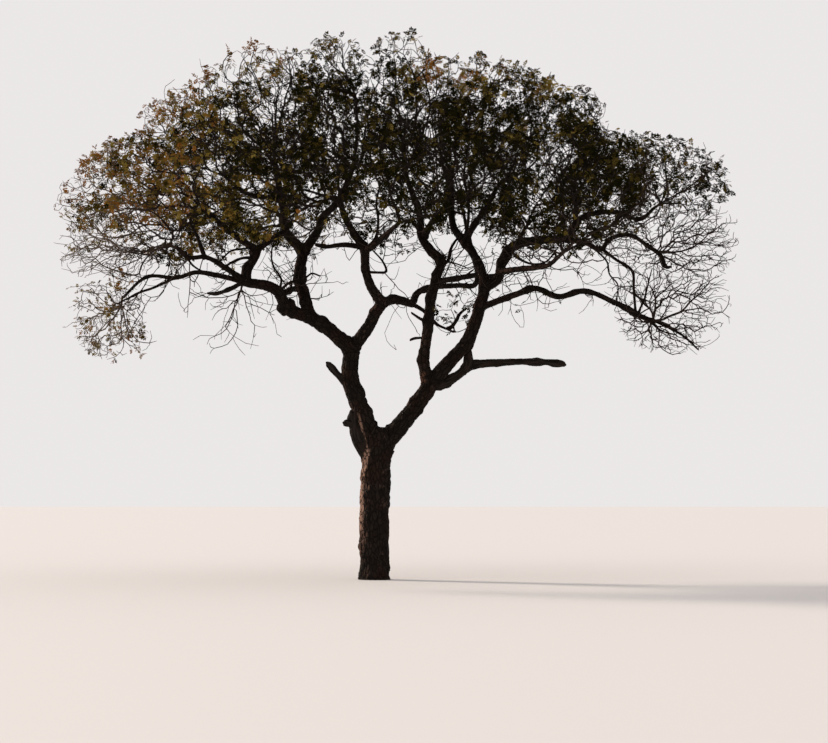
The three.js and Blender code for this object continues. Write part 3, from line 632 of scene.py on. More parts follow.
# Lesser boughs, left and right. Younger limbs of the same wood and bark, with a few thin ones that cross
# the open crown. Each swells where it leaves its parent, bends at its knees, and ends where its twigs begin.
DEAD_LIMBS = ["dead_stump", "left_stem_stub", "dead_prong", "dead_right_limb"]
THIN_LIMBS = {
    "left_fork_limb": ("left_reach_bough", (30, 14), (-4320, 6525, -1750), [
        (-4860, 6290, -1900), (-5080, 6220, -1950), (-5380, 6070, -1980), (-5600, 5960, -2000)]),
    "left_arc_limb": ("low_left_bough", (30, 15), (-2020, 6300, -1060), [
        (-1880, 6410, -900), (-1700, 6460, -800), (-1500, 6540, -900), (-1380, 6620, -1000),
        (-1200, 6560, -1100)]),
    "left_bow_limb": ("low_left_bough", (24, 12), (-1950, 6330, -1060), [
        (-2050, 6500, -1250), (-2230, 6800, -1350), (-2260, 7100, -1400), (-2180, 7380, -1400)]),
    "left_cross_limb": ("inner_left_bough", (30, 20), (-2620, 6980, -1090), [
        (-2927, 6944, -1400), (-3218, 6804, -1650), (-3330, 6700, -1700)]),
    "left_curl_limb": ("inner_left_bough", (24, 14), (-2700, 7200, -960), [
        (-2960, 7150, -1300), (-3150, 7110, -1500), (-3300, 6970, -1650), (-3400, 6850, -1700)]),
    "left_lift_limb": ("left_rise_bough", (44, 24), (-3690, 6980, -2090), [
        (-3795, 7203, -2050), (-3910, 7495, -1900), (-4050, 7750, -1800)]),
    "left_fall_limb": ("left_rise_bough", (24, 14), (-4150, 7040, -2400), [
        (-4026, 6858, -2300), (-3900, 6740, -2200), (-3700, 6640, -2100)]),
    "mid_cross_limb": ("mid_upright_bough", (28, 14), (-210, 6650, -1040), [
        (40, 6640, -1150), (240, 6660, -1250), (160, 6880, -1300), (-60, 7130, -1300)]),
    "crown_wave_limb": ("front_middle_bough", (30, 16), (-60, 7260, -1560), [
        (30, 7480, -1500), (60, 7800, -1350), (20, 8180, -1200), (110, 8600, -1100)]),
    "crown_left_limb": ("top_middle_bough", (34, 18), (-790, 8220, 450), [
        (-1100, 8320, 100), (-1420, 8420, -200), (-1700, 8490, -450)]),
    "right_cross_limb": ("upright_bough", (34, 24), (1440, 6830, 0), [
        (1560, 6870, 60), (1610, 6980, 120), (1640, 7150, 200), (1720, 7300, 300), (1800, 7400, 400)]),
    "right_thread_limb": ("upright_bough", (20, 10), (1480, 6860, 0), [
        (1650, 6860, -80), (1850, 6800, -150), (2030, 6720, -220)]),
    "right_rise_limb": ("high_right_bough", (34, 18), (1920, 7330, 470), [
        (2010, 7700, 300), (2030, 8200, 150), (1930, 8700, 100), (1980, 9200, 50)]),
    "arch_arc_limb": ("right_arch_bough", (30, 14), (2900, 7140, -150), [
        (3200, 6900, -500), (3460, 6820, -700), (3720, 6880, -850), (3950, 7150, -950)]),
    "right_hook_limb": ("right_side_bough", (42, 44), (5900, 7260, -830), [
        (6110, 7100, -880), (6230, 6980, -910), (6270, 6860, -930), (6290, 6780, -940)]),
    "right_bundle_limb": ("right_low_bough", (38, 16), (5800, 5660, -1100), [
        (6130, 5560, -1090), (6480, 5380, -1080), (6700, 5240, -1070), (7000, 4960, -1060)]),
    "right_under_limb": ("right_low_bough", (24, 11), (5780, 5680, -1110), [
        (5920, 5610, -1150), (6210, 5370, -1160), (6540, 5265, -1150)]),
    "right_boot_limb": ("right_hook_limb", (38, 20), (6280, 6790, -940), [
        (6350, 6750, -945), (6435, 6770, -950)]),
    "droop_hook_limb": ("drooping_bough", (46, 22), (1555, 5405, 1000), [
        (1652, 5450, 980), (1771, 5616, 950), (1827, 5728, 930), (1966, 5853, 900)]),
    "right_drop_limb": ("right_side_bough", (32, 22), (4900, 7150, -450), [
        (5249, 6912, -560), (5443, 6804, -650), (5594, 6653, -750), (5616, 6250, -900), (5650, 5780, -1070)]),
    "right_prop_limb": ("right_low_bough", (22, 10), (5690, 5720, -1090), [
        (5850, 6080, -1100), (5930, 6400, -1080), (6020, 6740, -1050)]),
    "right_thread_drop": ("right_side_bough", (20, 12), (4750, 7230, -350), [
        (5040, 6870, -420), (5090, 6600, -500), (5270, 6370, -600), (5230, 6000, -700)]),
}
for limb_name, limb_plan in THIN_LIMBS.items():
    limbs[limb_name] = grow_limb(limb_plan, limbs)
lesser = [name for name in limbs if name not in GREAT_LIMBS + DEAD_LIMBS]
on_left = [name for name in lesser if limbs[name]["axis"][:, 0].mean() < 1.2]
on_right = [name for name in lesser if name not in on_left]
for side_name, members in (("left_boughs", on_left), ("right_boughs", on_right)):
    boughs = add_limb_tubes(side_name, members)
    fuse(boughs, 0.0135, rounds=2)
    give_relief(boughs, members, web=0.6, neighbours=GREAT_LIMBS, seed=17)
    bark.put_on(boughs)
    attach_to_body(boughs, "root")
    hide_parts(*(name for name in members if name in LIMBS))

# Dead wood. A broken stump, snapped stubs and one long dead limb, without bark: grey fibres with long
# cracks, and ends torn into splinters.
SNAGS = {
    "stump_knob": ("dead_stump", (62, 58), (-460, 3345, -165), [(-570, 3345, -240), (-635, 3370, -270)]),
    "upright_stub": ("upright_bough", (18, 25), (1100, 5215, 60), [(855, 5203, 40), (762, 5168, 20)]),
    "upright_snag": ("upright_bough", (32, 20), (1150, 5560, 20), [(1000, 5615, 20), (784, 5760, 0)]),
    "limb_knuckle": ("dead_right_limb", (84, 62), (1960, 4480, 500), [(2020, 4690, 420), (2015, 4900, 350)]),
}
for limb_name, limb_plan in SNAGS.items():
    limbs[limb_name] = grow_limb(limb_plan, limbs)
dead_members = DEAD_LIMBS + list(SNAGS)
dead_wood = add_limb_tubes("dead_wood", dead_members)
fuse(dead_wood, 0.012, rounds=3)
give_relief(dead_wood, dead_members, web=0.3, neighbours=GREAT_LIMBS, jagged=0.05, seed=29)


def dead_finish():
    """Weathered grey wood with long dark cracks along its fibres."""
    wood = Finish("dead_wood", shine=0.06)
    grain = wood.grain()
    fibres = wood.scaled(grain, (1, 1, 0.08))
    streak = wood.noise(fibres, 34, 4, 0.6)
    broad = wood.noise(grain, 4, 2)
    grey = wood.mix(streak.between(0.35, 0.65), (0.005, 0.004, 0.003, 1), (0.024, 0.018, 0.015, 1))
    tone = wood.mix(broad.between(0.45, 0.7) * 0.6, grey, (0.022, 0.012, 0.008, 1))
    wood.set(base_color=tone, roughness=0.85)
    wood.bump(streak, 0.8, 0.012)
    return wood


dead_finish().put_on(dead_wood)
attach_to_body(dead_wood, "root")
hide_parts(*DEAD_LIMBS)

# Twigs. Stout curved twigs fan out from each bough's tip and share its space out among them. Each twig
# leaves its parent along the parent's way, and is as thick as the ends that it carries ask for.
ROUNDNESS = 2.5
FINE_GAP = 0.003
STEM_LENGTH = 0.16
BALANCE = 0.35
TARGET_TRIES = 14
ATTACH_TRIES = 8
FIRST_SEED = 211
SEED_STEP = 37
END_REACH = 0.82
TWIG_TIP = 0.0062
JOINT_STEP = 0.16
LEAFY_ENDS = 24
BARE_ENDS = 62
OTHER_ENDS = {
    "high_right_mass": 31, "upper_right_mass": 31, "right_crown_mass": 31, "left_wide_mass": 31,
    "top_middle_mass": 31, "left_low_mass": 48, "left_hanging_mass": 84, "left_under_mass": 15,
}
FAN_BALANCE = 0.42
TWIG_SEED = 40
THICK_TWIG = 0.018
SLIM_TWIG = 0.009
COVERING_TWIG = 0.012
TWIGS_SPLIT = 0.7
LEAVES_ON_TWIG = (5, 2, 1)

# Each mass: its bough, its leafy and its bare main ends, the centre and reach of its space, and where one
# twig reaches far past the others, that twig's end.
MASSES = {
    "left_hanging_mass": ("left_reach_bough", 9, 2, (-5778, 5640, -1500), (820, 1000, 920), None),
    "left_under_mass": ("dead_prong", 0, 9, (-3000, 5650, -1350), (1250, 800, 850), None),
    "left_low_mass": ("left_rise_bough", 5, 9, (-5450, 7230, -2000), (1500, 1400, 980), None),
    "left_wide_mass": (
        "inner_left_bough", 15, 1, (-4980, 8290, -300), (2000, 2200, 1340), (-6940, 8230, -300)),
    "left_crown_mass": ("left_crown_bough", 13, 0, (-3800, 9700, 200), (1320, 2100, 1450), None),
    "top_left_mass": ("top_left_bough", 13, 0, (-2380, 10100, 300), (1320, 2100, 1700), None),
    "back_left_mass": ("back_left_bough", 15, 0, (-2900, 8550, 3900), (2300, 2200, 1600), None),
    "top_middle_mass": ("top_middle_bough", 12, 0, (-890, 10130, 500), (1100, 2100, 1690), None),
    "front_left_mass": ("front_left_bough", 15, 0, (-2100, 9000, -3500), (2400, 2200, 1600), None),
    "front_middle_mass": ("front_middle_bough", 13, 0, (450, 9050, -4200), (1800, 1800, 1450), None),
    "back_middle_mass": ("back_middle_bough", 14, 0, (1000, 8800, 4500), (2100, 2000, 1500), None),
    "drooping_mass": ("drooping_bough", 3, 0, (1720, 5620, 1100), (480, 550, 450), None),
    "crest_mass": ("crest_bough", 13, 0, (560, 10320, 200), (1000, 2000, 1830), (760, 11920, 200)),
    "front_crest_mass": ("front_crest_bough", 12, 0, (1900, 9300, -2500), (1500, 1800, 1500), None),
    "back_right_mass": ("back_right_bough", 14, 0, (4100, 8550, 3900), (2200, 2200, 1550), None),
    "high_right_mass": ("high_right_bough", 12, 0, (1790, 9850, 700), (1090, 1900, 1710), None),
    "upper_right_mass": ("upper_right_bough", 12, 0, (3090, 9740, 200), (1210, 1900, 1640), None),
    "right_crown_mass": ("right_crown_bough", 11, 0, (4320, 9400, 200), (1130, 1900, 1320), None),
    "right_end_mass": ("right_end_bough", 12, 2, (6180, 8620, -100), (1600, 2000, 1080), None),
    "right_side_mass": ("right_side_bough", 2, 11, (6640, 7270, -700), (1300, 1600, 920), (7900, 7340, -700)),
    "front_right_mass": ("front_right_bough", 14, 0, (4300, 8400, -3400), (2100, 2200, 1500), None),
    "right_low_mass": ("right_low_bough", 0, 15, (6430, 5920, -1000), (1270, 1500, 1080), None),
}


# Leading twigs that are seen in the masses: how far back each one ends, and its line, right and up.
LEADERS = {
    "left_hanging_mass": [
        (-1500, [(-5650, 5700), (-5690, 5500), (-5520, 5230), (-5330, 5070), (-5070, 4890)]),
        (-1300, [(-5650, 5900), (-5940, 5730), (-6220, 5620), (-6490, 5550), (-6710, 5470)]),
        (-1900, [(-5590, 5990), (-5680, 6390), (-5730, 6680), (-5790, 6830)]),
        (-1700, [(-5790, 6300), (-6080, 6360), (-6310, 6360), (-6630, 6310)]),
        (-1000, [(-5750, 5600), (-6000, 5350), (-6150, 5100), (-6100, 4900)]),
    ],
    "left_low_mass": [
        (-1900, [(-4690, 7000), (-4950, 6920), (-5150, 6800), (-5270, 6600)]),
        (-2200, [(-4580, 7400), (-5070, 7200), (-5360, 7030), (-5650, 6860), (-5730, 6770)]),
        (-2000, [(-4700, 7560), (-5360, 7480), (-5790, 7390), (-6080, 7610), (-6370, 7930), (-6800, 8200)]),
        (-1800, [(-5900, 7420), (-6220, 7500), (-6430, 7260), (-6690, 7110)]),
        (-2400, [(-5750, 6900), (-6080, 7050), (-6310, 7030), (-6460, 6890), (-6660, 6830)]),
    ],
    "left_under_mass": [
        (-1200, [(-3020, 6080), (-3110, 5660), (-3240, 5400), (-3460, 5270), (-3780, 5250)]),
        (-1500, [(-3050, 5900), (-3000, 5400), (-3200, 5080), (-3480, 4970)]),
        (-1300, [(-2850, 6000), (-2440, 5830), (-2200, 5600), (-2150, 5350)]),
    ],
    "left_crown_mass": [
        (0, [(-3180, 8760), (-3170, 9020), (-3560, 9290), (-4100, 9800), (-4420, 10200)]),
        (300, [(-3500, 9200), (-4450, 10150), (-4600, 10410), (-4600, 10710), (-4410, 10900)]),
    ],
    "top_left_mass": [
        (200, [(-2200, 9200), (-2200, 9830), (-2200, 10220), (-1970, 10500), (-1700, 10730)]),
        (500, [(-2600, 9610), (-2830, 10130), (-2920, 10500), (-2890, 10800), (-2680, 11010)]),
        (100, [(-2810, 10500), (-3260, 10580), (-3500, 10760), (-3740, 10990), (-3860, 11380)]),
    ],
    "crest_mass": [
        (100, [(640, 8900), (560, 9700), (470, 10600), (420, 11300), (330, 11900)]),
        (300, [(700, 9400), (900, 10300), (840, 11000), (620, 11500), (760, 11950)]),
    ],
    "high_right_mass": [
        (700, [(1700, 8900), (1760, 9600), (1900, 10300), (2200, 10800)]),
        (900, [(1640, 8800), (1350, 9500), (1300, 10300), (1500, 10900)]),
    ],
    "right_crown_mass": [
        (300, [(4330, 8800), (4150, 9300), (3850, 9700), (3750, 10300)]),
        (100, [(4380, 8700), (4800, 9200), (5000, 9700)]),
    ],
    "right_side_mass": [
        (-900, [(6290, 7140), (6550, 7030), (6740, 6930), (7050, 6920), (7620, 6900)]),
        (-700, [(6700, 6930), (6860, 6650), (7110, 6520), (7340, 6390), (7620, 6410)]),
        (-500, [(6200, 7400), (6670, 7660), (6860, 7570), (7110, 7440), (7500, 7310), (7850, 7300)]),
        (-1100, [(6500, 7550), (6820, 7900), (6930, 7750), (7180, 7630), (7620, 7570)]),
        (-600, [(6150, 7000), (6300, 6600), (6500, 6300), (6900, 6150)]),
    ],
    "right_low_mass": [
        (-1100, [(6100, 5580), (6350, 5500), (6480, 5290), (6860, 5130), (7150, 4980)]),
        (-900, [(6400, 5450), (6670, 5320), (6930, 5570), (7240, 5830), (7400, 6080)]),
        (-1300, [(6010, 5830), (6420, 5660), (6860, 5620), (7340, 5660)]),
        (-800, [(5900, 5850), (5910, 6360), (6100, 6520), (6350, 6550), (6700, 6480)]),
        (-1000, [(5910, 5600), (6170, 5350), (6420, 5260), (6670, 5100), (6990, 4850)]),
        (-1500, [(6050, 6000), (6300, 6250), (6700, 6200), (7100, 6100)]),
    ],
}


class Chance:
    """Random numbers from 0 to 1, always the same ones for the same seed."""

    FACTOR = 16807
    MODULUS = 2147483647

    def __init__(self, seed):
        self.state = seed

    def __call__(self):
        self.state = self.state * self.FACTOR % self.MODULUS
        return self.state / self.MODULUS


class Space:
    """A mass's space: a rounded box round its centre, with flat walls towards the masses beside it."""

    def __init__(self, centre, reach):
        self.centre = place(centre)
        self.reach = np.array(reach) / 1000
        self.walls = []

    def share_with(self, other):
        way = other.centre - self.centre
        distance = np.linalg.norm(way)
        way = way / distance
        own, theirs = (1.1 * np.linalg.norm(way * space.reach) for space in (self, other))
        if own + theirs > distance:
            self.walls.append((way, distance * own / (own + theirs) - FINE_GAP / 2))

    def holds(self, points, share=1.0):
        out = (points - self.centre) / share
        inside = (np.abs(out / self.reach) ** ROUNDNESS).sum(-1) <= 1
        for way, at in self.walls:
            inside = inside & (out @ way <= at)
        return inside

    def main_end(self, chance):
        """A random point, most often in the outer part."""
        while True:
            way = np.array([chance() - 0.5, chance() - 0.5, chance() - 0.5]) * 2
            size = np.linalg.norm(way)
            if size > 1 or size < 0.05:
                continue
            point = way * math.sqrt(size) / size * self.reach + self.centre
            if self.holds(point, END_REACH):
                return point


def spread_ends(space, count, given, chance):
    """Main ends spread evenly through a space: each new one is the best of a few tries."""
    ends = list(given)
    while len(ends) < count:
        tries = [space.main_end(chance) for _ in range(TARGET_TRIES)]
        rooms = [min([1e6, *(np.linalg.norm(end - point) for end in ends)]) for point in tries]
        ends.append(tries[int(np.argmax(rooms))])
    return ends


def touches_wood(start, end, radius):
    """Whether a stretch of this radius would touch a limb."""
    u = end - start
    v = wood_to - wood_from
    w = start - wood_from
    uu = u @ u + 1e-12
    vv = (v * v).sum(1)
    uv = v @ u
    spread = uu * vv - uv * uv
    across = uv * (v * w).sum(1) - vv * (w @ u)
    s = np.clip(np.where(spread > 1e-9, across / np.maximum(spread, 1e-9), 0), 0, 1)
    t = np.clip((uv * s + (v * w).sum(1)) / vv, 0, 1)
    s = np.clip((uv * t - w @ u) / uu, 0, 1)
    gaps = np.linalg.norm(start + s[:, None] * u - wood_from - t[:, None] * v, axis=1)
    return bool((gaps < radius + wood_radius + 0.002).any())


class Twigs:
    """The joints of a mass's twigs: each has a place, a parent, a way that it points, and the path to it."""

    def __init__(self, root, way):
        self.points = [root]
        self.parents = [-1]
        self.ways = [way]
        self.paths = [0.0]

    def add(self, point, parent):
        step = point - self.points[parent]
        self.points.append(point)
        self.parents.append(parent)
        self.ways.append(unit(step))
        self.paths.append(self.paths[parent] + float(np.linalg.norm(step)))
        return len(self.points) - 1

    def bend_to(self, end, parent, lift, rng):
        """A curved twig from a joint to its end, in short stretches that others can grow from."""
        start = self.points[parent]
        reach = end - start
        length = np.linalg.norm(reach)
        lead = unit(unit(reach) + 0.75 * self.ways[parent])
        knee = start + lead * length * 0.5 + np.array([0, 0, lift * length])
        knee += rng.normal(0, 0.05, 3) * length
        steps = max(2, math.ceil(length / JOINT_STEP))
        joints = [parent]
        for i in range(1, steps + 1):
            t = i / steps
            point = (1 - t) ** 2 * start + 2 * t * (1 - t) * knee + t * t * end
            if i < steps:
                point = point + rng.normal(0, 0.012, 3)
            joints.append(self.add(point, joints[-1]))
        return joints[1:]

    def lead(self, line, back, rng):
        """A leading twig along a seen line, from the joint nearest to its start."""
        start = place((*line[0], 0))
        seen_joints = seen(np.array(self.points))
        parent = int(np.argmin(np.linalg.norm(seen_joints - seen(start), axis=1)))
        first_back = 1000 * self.points[parent][1]
        backs = np.linspace(first_back, back, len(line) + 1)[1:]
        knees = [place((right, up, depth)) for (right, up), depth in zip(line, backs)]
        way = SmoothWay(np.array([self.points[parent], *knees]))
        joint = parent
        for point in way.spaced(max(2, round(way.length / JOINT_STEP)))[1:]:
            joint = self.add(point + rng.normal(0, 0.01, 3), joint)

    def join(self, ends, radius, attach, balance=BALANCE):
        """Each end joins the joint with the shortest way to it, counting the way from the stem. The end
        that is cheapest to reach is always next."""
        ends = np.array(ends)
        known = 0
        costs = np.empty((0, len(ends)))
        tries = np.zeros(len(ends), int)
        while True:
            points = np.array(self.points[known:])
            paths = np.array(self.paths[known:])
            fresh = np.linalg.norm(points[:, None] - ends[None], axis=2) + balance * paths[:, None]
            fresh[:, tries >= ATTACH_TRIES] = np.inf
            costs = np.vstack([costs, fresh])
            known = len(self.points)
            while True:
                best = int(np.argmin(costs))
                parent, end = divmod(best, len(ends))
                if not np.isfinite(costs[parent, end]):
                    return
                if not touches_wood(self.points[parent], ends[end], radius):
                    break
                costs[parent, end] = np.inf
                tries[end] += 1
                if tries[end] >= ATTACH_TRIES:
                    costs[:, end] = np.inf
            tries[end] = ATTACH_TRIES
            costs[:, end] = np.inf
            attach(ends[end], parent)

    def count_tips(self):
        """How many ends each joint carries, and its children."""
        tips = np.zeros(len(self.points), int)
        children = [[] for _ in self.points]
        for joint in range(len(self.points) - 1, -1, -1):
            tips[joint] = max(1, tips[joint])
            if joint:
                tips[self.parents[joint]] += tips[joint]
                children[self.parents[joint]].append(joint)
        return tips, children

    def chains(self, tips, children):
        """Each chain of joints runs on through the child that carries most, and the others start anew."""
        waiting = [(0, child) for child in children[0]]
        while waiting:
            start, joint = waiting.pop()
            chain = [start]
            while joint is not None:
                chain.append(joint)
                ranked = sorted(children[joint], key=lambda child: -tips[child])
                waiting += [(joint, child) for child in ranked[1:]]
                joint = ranked[0] if ranked else None
            yield chain


def side_of(right):
    """The side whose piece holds the twigs that grow at this place."""
    return "left" if right < TWIGS_SPLIT else "right"

class Tubes:
    """Collects thin closed tubes into one mesh."""

    def __init__(self):
        self.points, self.corners, self.sizes, self.count = [], [], [], 0

    def add(self, axis, radii, sides):
        ways = unit(np.gradient(axis, axis=0))
        rough = np.eye(3)[np.argmin(np.abs(ways).max(0))]
        side = unit(rough - (ways @ rough)[:, None] * ways)
        up = np.cross(ways, side)
        turn = np.arange(sides) * 2 * math.pi / sides
        circle = np.cos(turn)[:, None] * side[:, None] + np.sin(turn)[:, None] * up[:, None]
        rings = axis[:, None] + radii[:, None, None] * circle
        at = self.count + np.arange(len(axis) * sides).reshape(len(axis), sides)
        after = np.roll(at, -1, axis=1)
        walls = np.stack([at[:-1], after[:-1], after[1:], at[1:]], axis=-1).reshape(-1)
        self.points.append(rings.reshape(-1, 3))
        self.corners += [walls, at[0][::-1], at[-1]]
        self.sizes += [np.full(len(walls) // 4, 4), [sides], [sides]]
        self.count += len(axis) * sides

    def piece(self, name):
        corners, sizes = np.concatenate(self.corners), np.concatenate(self.sizes)
        return mesh_piece(name, np.vstack(self.points), corners, sizes)


def mesh_piece(name, points, corners, sizes):
    """A mesh object from its points, the corners of its faces, and how many corners each face has."""
    mesh = bpy.data.meshes.new(name)
    mesh.vertices.add(len(points))
    mesh.vertices.foreach_set("co", np.asarray(points, np.float32).ravel())
    mesh.loops.add(len(corners))
    mesh.loops.foreach_set("vertex_index", np.asarray(corners, np.int32))
    mesh.polygons.add(len(sizes))
    starts = np.concatenate([[0], np.cumsum(sizes)[:-1]])
    mesh.polygons.foreach_set("loop_start", starts.astype(np.int32))
    mesh.update(calc_edges=True)
    piece = bpy.data.objects.new(name, mesh)
    bpy.context.collection.objects.link(piece)
    return piece


# The crown's upper line, the lower line of its leaves, and the windows through which the sky shows, as
# they are seen: right and up, and for a window also its reach.
CREST = [
    (-7.6, 7.9), (-6.9, 8.5), (-6.6, 8.9), (-6.2, 9.3), (-5.3, 10.3), (-4.4, 10.6), (-3.6, 11.4),
    (-2.7, 11.8), (-1.8, 11.5), (-1.4, 11.8), (-0.5, 11.9), (-0.1, 11.6), (0.3, 11.9), (0.8, 12.0),
    (1.2, 11.4), (2.4, 11.5), (3.6, 11.05), (4.4, 10.8), (4.95, 10.4), (5.2, 9.8), (6.4, 9.65), (7.2, 9.4),
    (7.7, 9.1), (8.2, 8.0),
]
UNDERSIDE = [
    (-7.6, 4.7), (-4.95, 4.7), (-4.85, 6.75), (-3.2, 6.7), (-2.4, 7.1), (0.9, 7.1), (1.0, 7.6), (2.2, 7.6),
    (2.3, 7.2), (3.9, 7.0), (4.9, 7.15), (5.4, 7.5), (6.0, 7.6), (7.0, 8.0), (8.2, 8.1),
]
WINDOWS = [
    (-2.95, 11.3, 0.25), (-2.25, 11.3, 0.2), (-2.1, 10.65, 0.3), (-1.7, 11.25, 0.2), (-2.35, 10.2, 0.3),
    (-3.2, 10.15, 0.25), (-1.85, 10.25, 0.2), (-3.6, 8.9, 0.3), (-2.7, 8.55, 0.35), (-1.4, 8.45, 0.2),
    (-3.5, 8.05, 0.2), (-2.6, 8.05, 0.3), (-1.4, 8.0, 0.3), (-3.1, 7.3, 0.3), (-1.55, 7.45, 0.3),
    (-0.8, 7.5, 0.35), (-0.4, 7.9, 0.3), (-4.75, 7.5, 0.25), (-5.2, 7.7, 0.2), (-0.1, 11.4, 0.2),
    (0.75, 11.5, 0.35), (1.3, 10.65, 0.2), (1.0, 10.1, 0.2), (1.2, 9.8, 0.2), (1.25, 9.1, 0.2),
    (1.2, 8.75, 0.35), (1.8, 8.7, 0.25), (2.3, 8.6, 0.25), (0.0, 8.5, 0.3), (0.3, 7.9, 0.35),
    (1.9, 7.8, 0.25), (2.5, 11.0, 0.2), (2.7, 10.4, 0.2), (3.15, 10.65, 0.2), (4.1, 9.35, 0.35),
    (3.7, 8.9, 0.3), (3.55, 8.3, 0.35), (3.3, 7.7, 0.25), (5.1, 9.95, 0.35), (5.5, 9.1, 0.2),
    (6.15, 8.85, 0.2), (5.2, 8.15, 0.2), (6.1, 8.0, 0.3), (-5.2, 5.85, 0.3),
]


def window_share(spots):
    """How much of the sky's light comes through at some seen places: 1 in the middle of a window."""
    open_share = np.zeros(len(spots))
    for right, up, reach in WINDOWS:
        away = ((spots - (right, up)) ** 2).sum(1) / reach**2
        open_share = np.maximum(open_share, np.exp(-(away**1.5)))
    return open_share


def fine_ends(space, density, rng):
    """Ends of fine twigs, scattered through a space in clumps with gaps between them, under the crest."""
    wanted = int(6.2 * space.reach.prod() * density)
    tries = space.centre + rng.uniform(-1, 1, (4 * wanted, 3)) * space.reach
    tries = tries[space.holds(tries, 0.97)]
    tries = tries[waves(tries, 0.75) + 0.35 * rng.random(len(tries)) > -0.05]
    spots = seen(tries)
    tries = tries[(spots[:, 1] < np.interp(spots[:, 0], *zip(*CREST)) + 0.06 * rng.normal(0, 1, len(spots)))
                  & (rng.random(len(spots)) > 0.6 * window_share(spots))]
    least = 0.5 / density ** (1 / 3)
    kept = np.full((wanted, 3), 1e6)
    count = 0
    for point in tries:
        if count < wanted and np.abs(kept[:count] - point).sum(1).min(initial=9) > least:
            kept[count] = point
            count += 1
    return kept[:count]


GOLDEN_CLUMPS = (
    (1.1, 11.05, 0.6, 0.25), (2.1, 10.85, 0.35, 0.2), (3.8, 10.65, 0.4, 0.22), (-5.6, 6.45, 0.2, 0.3))


def ramp(values, start, span):
    """0 up to the start, then evenly to 1 over the span, which runs down where it is below 0."""
    return np.clip((values - start) / span, 0, 1)

def within(right, up, oval):
    """Whether each seen place lies in an oval, given by its middle and its half width and half height."""
    x, z, wide, high = oval
    return np.hypot((right - x) / wide, (up - z) / high) < 1

def in_golden_clump(right, up):
    """Whether each seen place lies in one of the clumps that have turned golden."""
    return np.any([within(right, up, clump) for clump in GOLDEN_CLUMPS], axis=0)


def leaf_share(points):
    """The share of its leaves that each place of the crown still has."""
    spots = seen(points)
    right, up = spots.T
    soft = np.interp(right, (-2.5, -1.2, 3.8, 5), (0.9, 0.45, 0.45, 0.7))
    rim = np.interp((np.interp(right, *zip(*CREST)) - up) / soft, (0, 0.05, 1), (0, 0.6, 1))
    under = np.interp(up - np.interp(right, *zip(*UNDERSIDE)), (-0.05, 0, 0.5), (0, 0.45, 1))
    far_left = 1 - 0.75 * ramp(right, -5.8, -0.8) * ramp(up, 6.6, 0.5)
    low_left = 1 - 0.85 * ramp(right, -4.4, -0.6) * ramp(up, 7.9, -0.5) * ramp(up, 6.2, 0.4)
    thick_foot = within(right, up, (-5.45, 5.15, 0.65, 0.5))
    drooping_left = 1 - np.where(thick_foot, 0, 0.6) * ramp(right, -4.6, -0.3) * ramp(up, 6.6, -0.4)
    low_right = 1 - 0.65 * ramp(right, 4.7, 0.8) * ramp(up, 8.3, -0.7)
    speckle = np.clip(0.85 + 1.2 * waves(np.column_stack([spots, 0.15 * points[:, 1]]), 0.32), 0.2, 1)
    share = rim * under * far_left * low_left * drooping_left * low_right * speckle
    share *= 1 - 0.85 * window_share(spots)
    hanging = 0.5 * within(right, up, (1.75, 5.7, 0.6, 0.6))
    strays = 0.3 * within(right, up, (3.3, 6.15, 0.7, 0.35))
    return np.max([share, hanging, strays, 1.0 * in_golden_clump(right, up)], axis=0)


def add_leaf_spots(twigs, joint):
    """Places for leaves at a twig's end and on its last stretch, with the most that each can have."""
    tip = twigs.points[joint]
    parent = twigs.points[twigs.parents[joint]]
    for spot, most_here in zip((tip, (tip + parent) / 2, parent), LEAVES_ON_TWIG):
        leaf_spots.append((spot, twigs.ways[joint], most_here))


spaces = {name: Space(plan[3], plan[4]) for name, plan in MASSES.items()}
for one in spaces.values():
    for two in spaces.values():
        if one is not two:
            one.share_with(two)

